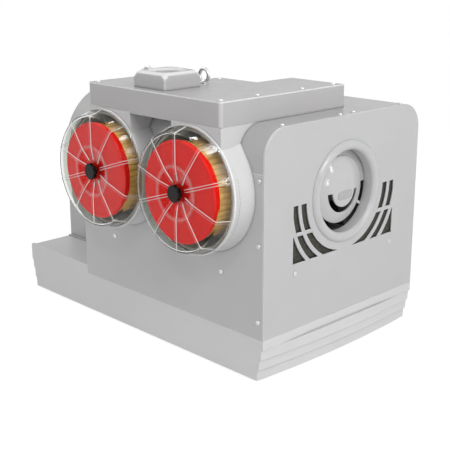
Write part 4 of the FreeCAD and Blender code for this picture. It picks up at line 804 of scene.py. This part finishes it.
def screws_in_place(node, name):
    """Puts a pan head over each screw of a grouped CAD node."""
    builder = bmesh.new()
    for number, (low, high) in enumerate(screw_boxes(node)):
        out, axis = outward(low, high)
        seat = (low + high) / 2
        seat[axis] = high[axis] if out[axis] > 0 else low[axis]
        screw_head(builder, seat - out * HEAD_SEAT, out, sizes().head_radius, 0.7 * number)
    made = piece(name, builder, finished("bright_steel"), "chassis", smooth=0.6)
    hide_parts(node)


def outward(low, high):
    """The way out of a screw's box, along its longest side, and the axis that this is."""
    size = high - low
    axis = max(range(3), key=lambda i: size[i])
    out = Vector((0, 0, 0))
    out[axis] = 1.0 if (low + high)[axis] > (cad_low + cad_high)[axis] else -1.0
    return out, axis


def bare_pad():
    """Plain raised pad on the fan hub, with nothing on it."""
    low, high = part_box("fan_grille")
    centre_y, centre_z = (low.y + high.y) / 2 + PAD_SHIFT, (low.z + high.z) / 2 - PAD_DROP
    surface = BVHTree.FromObject(nodes["fan_grille"], bpy.context.evaluated_depsgraph_get())
    half_y, half_z = sizes().pad_width / 2, sizes().pad_width / 5
    builder = bmesh.new()
    rings = []
    for share, rise in ((1.0, -0.0006), (1.0, 0.0006), (0.94, 0.0009), (0.86, 0.0006), (0.4, 0.0006)):
        ring = []
        for k in range(48):
            angle = 2 * math.pi * k / 48
            c, s = math.cos(angle), math.sin(angle)
            y = centre_y + share * half_y * math.copysign(abs(c) ** 0.5, c)
            z = centre_z + share * half_z * math.copysign(abs(s) ** 0.5, s)
            hit = surface.ray_cast(Vector((high.x + 0.01, y, z)), Vector((-1, 0, 0)))[0]
            ring.append(builder.verts.new((hit.x + rise, y, z)))
        rings.append(ring)
    ring_faces(builder, rings)
    builder.faces.new(rings[0])
    builder.faces.new(rings[-1])
    bmesh.ops.recalc_face_normals(builder, faces=builder.faces)
    # The pad gets painted shade where it meets the hub.
    plastic = moulded_plastic("bare_pad", (0.50, 0.50, 0.51), 0.25, 700, joints=True)
    piece("hub_bare_pad", builder, plastic, "chassis", smooth=0.6)


def slot_mat():
    """Foam mat behind the slots of the end panel, open behind the grille's ring."""
    low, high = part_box("fan_grille")
    centre_y, centre_z = (low.y + high.y) / 2, (low.z + high.z) / 2
    opening = (high.z - low.z) / 2 - 0.006
    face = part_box("end_panel")[1].x - MAT_BEHIND_PANEL
    builder = bmesh.new()
    segments = 96
    rings = []
    for x in (face, face - MAT_THICKNESS):
        outer = []
        inner = []
        for k in range(segments):
            angle = 2 * math.pi * (k + 0.5) / segments
            c, s = math.cos(angle), math.sin(angle)
            reach = min(MAT_HALF_WIDTH / max(abs(c), 1e-6), MAT_HALF_HEIGHT / max(abs(s), 1e-6))
            outer.append(builder.verts.new((x, centre_y + reach * c, centre_z + reach * s)))
            inner.append(builder.verts.new((x, centre_y + opening * c, centre_z + opening * s)))
        rings.append((outer, inner))
    (front_outer, front_inner), (back_outer, back_inner) = rings
    ring_faces(builder, [front_outer, front_inner, back_inner, back_outer, front_outer])
    bmesh.ops.recalc_face_normals(builder, faces=builder.faces)
    piece("slot_filter_mat", builder, filter_mat(), "chassis", smooth=0.5)


# Operators


class PUMP_OT_finishes(bpy.types.Operator):
    """Make the finishes that several pieces share"""
    bl_idname = "pump.finishes"
    bl_label = "Finishes"

    def execute(self, context):
        turned_steel("bright_steel", (0.72, 0.72, 0.73), 0.28)
        turned_steel("shaft_steel", (0.46, 0.46, 0.48), 0.35)
        raw_casting("cast_iron", (0.17, 0.17, 0.175), 0.3)
        raw_casting("cast_aluminium", (0.50, 0.50, 0.51), 0.8, 0.5)
        soft_rubber("rubber")
        pleated_paper()
        return {"FINISHED"}


class PUMP_OT_casing(bpy.types.Operator):
    """Paint the panels and hoods of the casing"""
    bl_idname = "pump.casing"
    bl_label = "Casing"

    def execute(self, context):
        # The hoods get a darker copy of the panel paint, as painted shade; the flat panels get it at full tone.
        dress(sprayed_paint("panel_paint", colours().hood), "hood_front", "hood_rear", "left_hood")
        dress(sprayed_paint("flat_panel_paint", colours().panel, boxy=True),
              "end_panel", "front_panel", "rear_panel")
        shoulder_sheet()
        return {"FINISHED"}


class PUMP_OT_base(bpy.types.Operator):
    """Paint the base tray and dress its feet"""
    bl_idname = "pump.base"
    bl_label = "Base tray"

    def execute(self, context):
        dress(sprayed_paint("base_paint", colours().base, 0.4, boxy=True), "base_tray")
        dress(finished("rubber"), "rubber_feet")
        return {"FINISHED"}


class PUMP_OT_lid(bpy.types.Operator):
    """Paint the suction lid and its inlet block, and dress the lifting eyes"""
    bl_idname = "pump.lid"
    bl_label = "Suction lid"

    def execute(self, context):
        lid_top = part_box("manifold_cover")[1].z
        dress(cast_paint("lid_paint", colours().casting, top=lid_top), "manifold_cover")
        dress(cast_paint("casting_paint", colours().casting), "inlet_block")
        dress(finished("bright_steel"), "lifting_eye_right", "lifting_eye_left")
        return {"FINISHED"}


class PUMP_OT_drums(bpy.types.Operator):
    """Paint the filter drums and dress their gaskets and studs"""
    bl_idname = "pump.drums"
    bl_label = "Filter drums"

    def execute(self, context):
        for side in SIDES:
            dress(drum_casting(side), "filter_drum_" + side)
            dress(finished("rubber"), "cover_gasket_" + side)
            dress(finished("bright_steel"), "filter_stud_" + side)
        return {"FINISHED"}


class PUMP_OT_covers(bpy.types.Operator):
    """Make the clear covers and their knobs"""
    bl_idname = "pump.covers"
    bl_label = "Clear covers"

    def execute(self, context):
        knob = moulded_plastic("knob_plastic", colours().dark, 0.42, 700, shine=0.2)
        for side in SIDES:
            clear_plastic(side)
            clear_cover(side)
            dress(knob, "cover_knob_" + side)
        return {"FINISHED"}


class PUMP_OT_cartridges(bpy.types.Operator):
    """Make the filter cartridges: moulded caps and pleated paper"""
    bl_idname = "pump.cartridges"
    bl_label = "Filter cartridges"

    def execute(self, context):
        red = moulded_plastic("red_cap", colours().red, 0.3, 600, shine=0.06, ior=1.25)
        dark = moulded_plastic("dark_cap", (0.05, 0.05, 0.045), 0.6)
        for side in SIDES:
            dress(red, "cartridge_front_cap_" + side)
            dress(dark, "cartridge_rear_cap_" + side)
            pleat_ring(side)
        return {"FINISHED"}


class PUMP_OT_grille(bpy.types.Operator):
    """Dress the fan grille and put the filter mat behind the slots"""
    bl_idname = "pump.grille"
    bl_label = "Fan grille"

    def execute(self, context):
        dress(grille_plastic(), "fan_grille")
        slot_mat()
        bare_pad()
        return {"FINISHED"}


class PUMP_OT_fasteners(bpy.types.Operator):
    """Make the pan head screws of the panels and the lid"""
    bl_idname = "pump.fasteners"
    bl_label = "Fasteners"

    def execute(self, context):
        screws_in_place("panel_screws", "panel_screw_heads")
        screws_in_place("manifold_screws", "lid_screw_heads")
        return {"FINISHED"}


class PUMP_OT_machinery(bpy.types.Operator):
    """Dress the motor, fan, coupling, pump stage, gears and ducts inside"""
    bl_idname = "pump.machinery"
    bl_label = "Machinery"

    def execute(self, context):
        iron = finished("cast_iron")
        steel = finished("shaft_steel")
        aluminium = finished("cast_aluminium")
        duct = sprayed_paint("sheet_steel", (0.20, 0.20, 0.21), 0.5, 0.0008)
        dress(iron, "pump_cylinder", "drive_end_plate", "gear_end_plate", "pump_pedestal",
              "claw_rotor_drive", "claw_rotor_driven", "coupling_hub_motor", "coupling_hub_pump")
        dress(steel, "motor_rotor", "motor_stator", "shaft_bearings", "pump_shaft_drive", "pump_shaft_driven",
              "timing_gear_drive", "timing_gear_driven")
        dress(aluminium, "motor_housing", "motor_end_shields", "gearbox_cover", "exhaust_flange", "terminal_box")
        dress(duct, "fan_shroud", "exhaust_silencer", "silencer_saddles", "suction_duct", "exhaust_pipe")
        dress(moulded_plastic("fan_plastic", (0.03, 0.03, 0.032), 0.5), "cooling_fan")
        dress(finished("rubber"), "coupling_spider")
        glass = Finish("sight_glass", (0.9, 0.9, 0.82), 0.04)
        glass.bump(glass.noise(80, 2), 0.0002, 0.1)
        dress(glass.done(transmission_weight=1.0, ior=1.5), "oil_sight_glass")
        return {"FINISHED"}


class PUMP_OT_stage(bpy.types.Operator):
    """Make the floor, the lamps and the camera"""
    bl_idname = "pump.stage"
    bl_label = "Studio"

    def execute(self, context):
        studio_sky()
        studio_floor()
        for settings in LAMPS:
            lamp(*settings)
        camera()
        return {"FINISHED"}


def sees_backdrop(tree):
    """A value that is 1 for camera, glossy and transmission rays."""
    rays = tree.nodes.new("ShaderNodeLightPath")
    total = None
    for name in ("Is Camera Ray", "Is Glossy Ray", "Is Transmission Ray"):
        if total is None:
            total = rays.outputs[name]
            continue
        add = tree.nodes.new("ShaderNodeMath")
        add.operation = "MAXIMUM"
        tree.links.new(total, add.inputs[0])
        tree.links.new(rays.outputs[name], add.inputs[1])
        total = add.outputs["Value"]
    return total


def studio_sky():
    """A white world that lights the pump at a plain level."""
    world = bpy.data.worlds.new("studio")
    bpy.context.scene.world = world
    world.use_nodes = True
    tree = world.node_tree
    background = tree.nodes["Background"]
    background.inputs["Color"].default_value = (1, 1, 1, 1)
    strength = tree.nodes.new("ShaderNodeMapRange")
    strength.inputs["To Min"].default_value = SKY_LIGHT
    strength.inputs["To Max"].default_value = 1.0
    tree.links.new(sees_backdrop(tree), strength.inputs["Value"])
    tree.links.new(strength.outputs["Result"], background.inputs["Strength"])


def studio_floor():
    """A floor that looks white and keeps a faint shadow of the pump."""
    mesh = bpy.data.meshes.new("floor")
    corners = ((-1, -1), (1, -1), (1, 1), (-1, 1))
    mesh.from_pydata([(x * FLOOR_REACH, y * FLOOR_REACH, 0) for x, y in corners], [], [(0, 1, 2, 3)])
    floor = bpy.data.objects.new("floor", mesh)
    bpy.context.scene.collection.objects.link(floor)
    floor.location.z = -FLOOR_DROP
    material = bpy.data.materials.new("floor")
    material.use_nodes = True
    tree = material.node_tree
    tree.nodes.clear()
    output = tree.nodes.new("ShaderNodeOutputMaterial")
    plain = tree.nodes.new("ShaderNodeBsdfDiffuse")
    plain.inputs["Color"].default_value = (*colours().backdrop, 1)
    faint = tree.nodes.new("ShaderNodeBsdfDiffuse")
    faint.inputs["Color"].default_value = (0.22, 0.22, 0.22, 1)
    glow = tree.nodes.new("ShaderNodeEmission")
    glow.inputs["Strength"].default_value = FLOOR_GLOW
    lit = tree.nodes.new("ShaderNodeAddShader")
    choose = tree.nodes.new("ShaderNodeMixShader")
    for source, target in ((faint.outputs["BSDF"], lit.inputs[0]), (glow.outputs["Emission"], lit.inputs[1]),
                           (sees_backdrop(tree), choose.inputs["Fac"]), (plain.outputs["BSDF"], choose.inputs[1]),
                           (lit.outputs["Shader"], choose.inputs[2]),
                           (choose.outputs["Shader"], output.inputs["Surface"])):
        tree.links.new(source, target)
    mesh.materials.append(material)


COVERS = tuple("clear_cover_" + side for side in SIDES)
DRUMS = tuple("filter_drum_" + side for side in SIDES)

# Name, place, target, width and height, power in watts, and the only pieces that it lights, if any.
LAMPS = (
    ("key_right", (2.9, -0.6, 2.3), (0.2, 0, 0.3), (1.6, 1.4), 38, ()),
    ("fill_front", (-0.8, -3.4, 1.4), (0, 0, 0.3), (2.6, 2.0), 8, ()),
    ("fill_left", (-2.2, -1.2, 2.6), (-0.2, 0, 0.4), (1.2, 1.2), 12, ()),
    ("glint_front", (1.6, -2.6, 2.9), (0.1, -0.3, 0.4), (0.5, 0.3), 8, ()),
    ("glint_rims", (1.2, 0.15, 2.95), (0.2, -0.28, 0.5), (1.3, 0.3), 30, COVERS),
    ("drum_tops", (1.0, -0.5, 3.0), (0.2, -0.2, 0.5), (0.8, 0.8), 12, DRUMS),
    ("glint_rims_high", (-0.4, 0.5, 2.9), (0.1, -0.28, 0.5), (0.6, 0.3), 14, COVERS),
    ("glint_rims_side", (2.75, 0.08, 1.2), (0.2, -0.28, 0.5), (0.3, 0.7), 6, COVERS),
    ("glint_dome_high", (3.1, 1.4, 1.15), (0.43, 0.05, 0.32), (0.2, 0.4), 3, ()),
    ("glint_dome_low", (3.3, 0.9, 0.4), (0.43, 0.05, 0.32), (0.2, 0.4), 3, ()),
    ("glint_ring", (2.8, 0.2, 1.6), (0.43, 0.05, 0.32), (0.2, 0.3), 4, ()),
)


def lamp(name, place, target, size, power, only):
    """An area lamp; with names in only, it lights just those objects."""
    data = bpy.data.lights.new(name, "AREA")
    data.shape = "RECTANGLE"
    data.size, data.size_y = size
    data.energy = power
    made = bpy.data.objects.new(name, data)
    bpy.context.scene.collection.objects.link(made)
    made.location = place
    made.rotation_mode = "QUATERNION"
    made.rotation_quaternion = (Vector(target) - Vector(place)).to_track_quat("-Z", "Y")
    if only:
        lit = bpy.data.collections.new(name + "_lights")
        for other in only:
            lit.objects.link(bpy.data.objects[other])
        made.light_linking.receiver_collection = lit


def camera():
    """The camera, where the photo was taken from."""
    data = bpy.data.cameras.new("camera")
    made = bpy.data.objects.new("camera", data)
    bpy.context.scene.collection.objects.link(made)
    turn = math.radians(45.383)
    tilt = math.radians(15.524)
    made.location = (1.6261, -1.4835, 0.8642)
    forward = Vector((-math.sin(turn) * math.cos(tilt), math.cos(turn) * math.cos(tilt), -math.sin(tilt)))
    made.rotation_mode = "QUATERNION"
    made.rotation_quaternion = forward.to_track_quat("-Z", "Y")
    data.sensor_width = 36
    data.lens = 74.16
    data.shift_x = -0.0182
    data.shift_y = -0.0279
    data.clip_start = 0.05
    data.clip_end = 60
    bpy.context.scene.camera = made


OPERATORS = (PUMP_OT_finishes, PUMP_OT_casing, PUMP_OT_base, PUMP_OT_lid, PUMP_OT_drums, PUMP_OT_covers,
             PUMP_OT_cartridges, PUMP_OT_grille, PUMP_OT_fasteners, PUMP_OT_machinery, PUMP_OT_stage)


class PUMP_PT_sidebar(bpy.types.Panel):
    """Sizes, colours and pieces of the pump"""
    bl_idname = "PUMP_PT_sidebar"
    bl_label = "Claw vacuum pump"
    bl_space_type = "VIEW_3D"
    bl_region_type = "UI"
    bl_category = "Pump"

    def draw(self, context):
        layout = self.layout
        for group in (context.scene.pump_colours, context.scene.pump_sizes):
            column = layout.column(align=True)
            for name in group.__annotations__:
                column.prop(group, name)
        column = layout.column(align=True)
        for operator in OPERATORS:
            column.operator(operator.bl_idname)


def register():
    """Registers the classes and puts the settings on the scene."""
    for cls in (PumpColours, PumpSizes, *OPERATORS, PUMP_PT_sidebar):
        bpy.utils.register_class(cls)
    bpy.types.Scene.pump_colours = PointerProperty(type=PumpColours)
    bpy.types.Scene.pump_sizes = PointerProperty(type=PumpSizes)


def unregister():
    """Takes the settings and the classes away again."""
    del bpy.types.Scene.pump_sizes
    del bpy.types.Scene.pump_colours
    for cls in (PUMP_PT_sidebar, *reversed(OPERATORS), PumpSizes, PumpColours):
        bpy.utils.unregister_class(cls)


def main():
    """Calls the operators in order."""
    register()
    bpy.context.scene.view_settings.view_transform = "Standard"
    for operator in OPERATORS:
        group, name = operator.bl_idname.split(".")
        getattr(getattr(bpy.ops, group), name)()


if __name__ == "__main__":
    main()
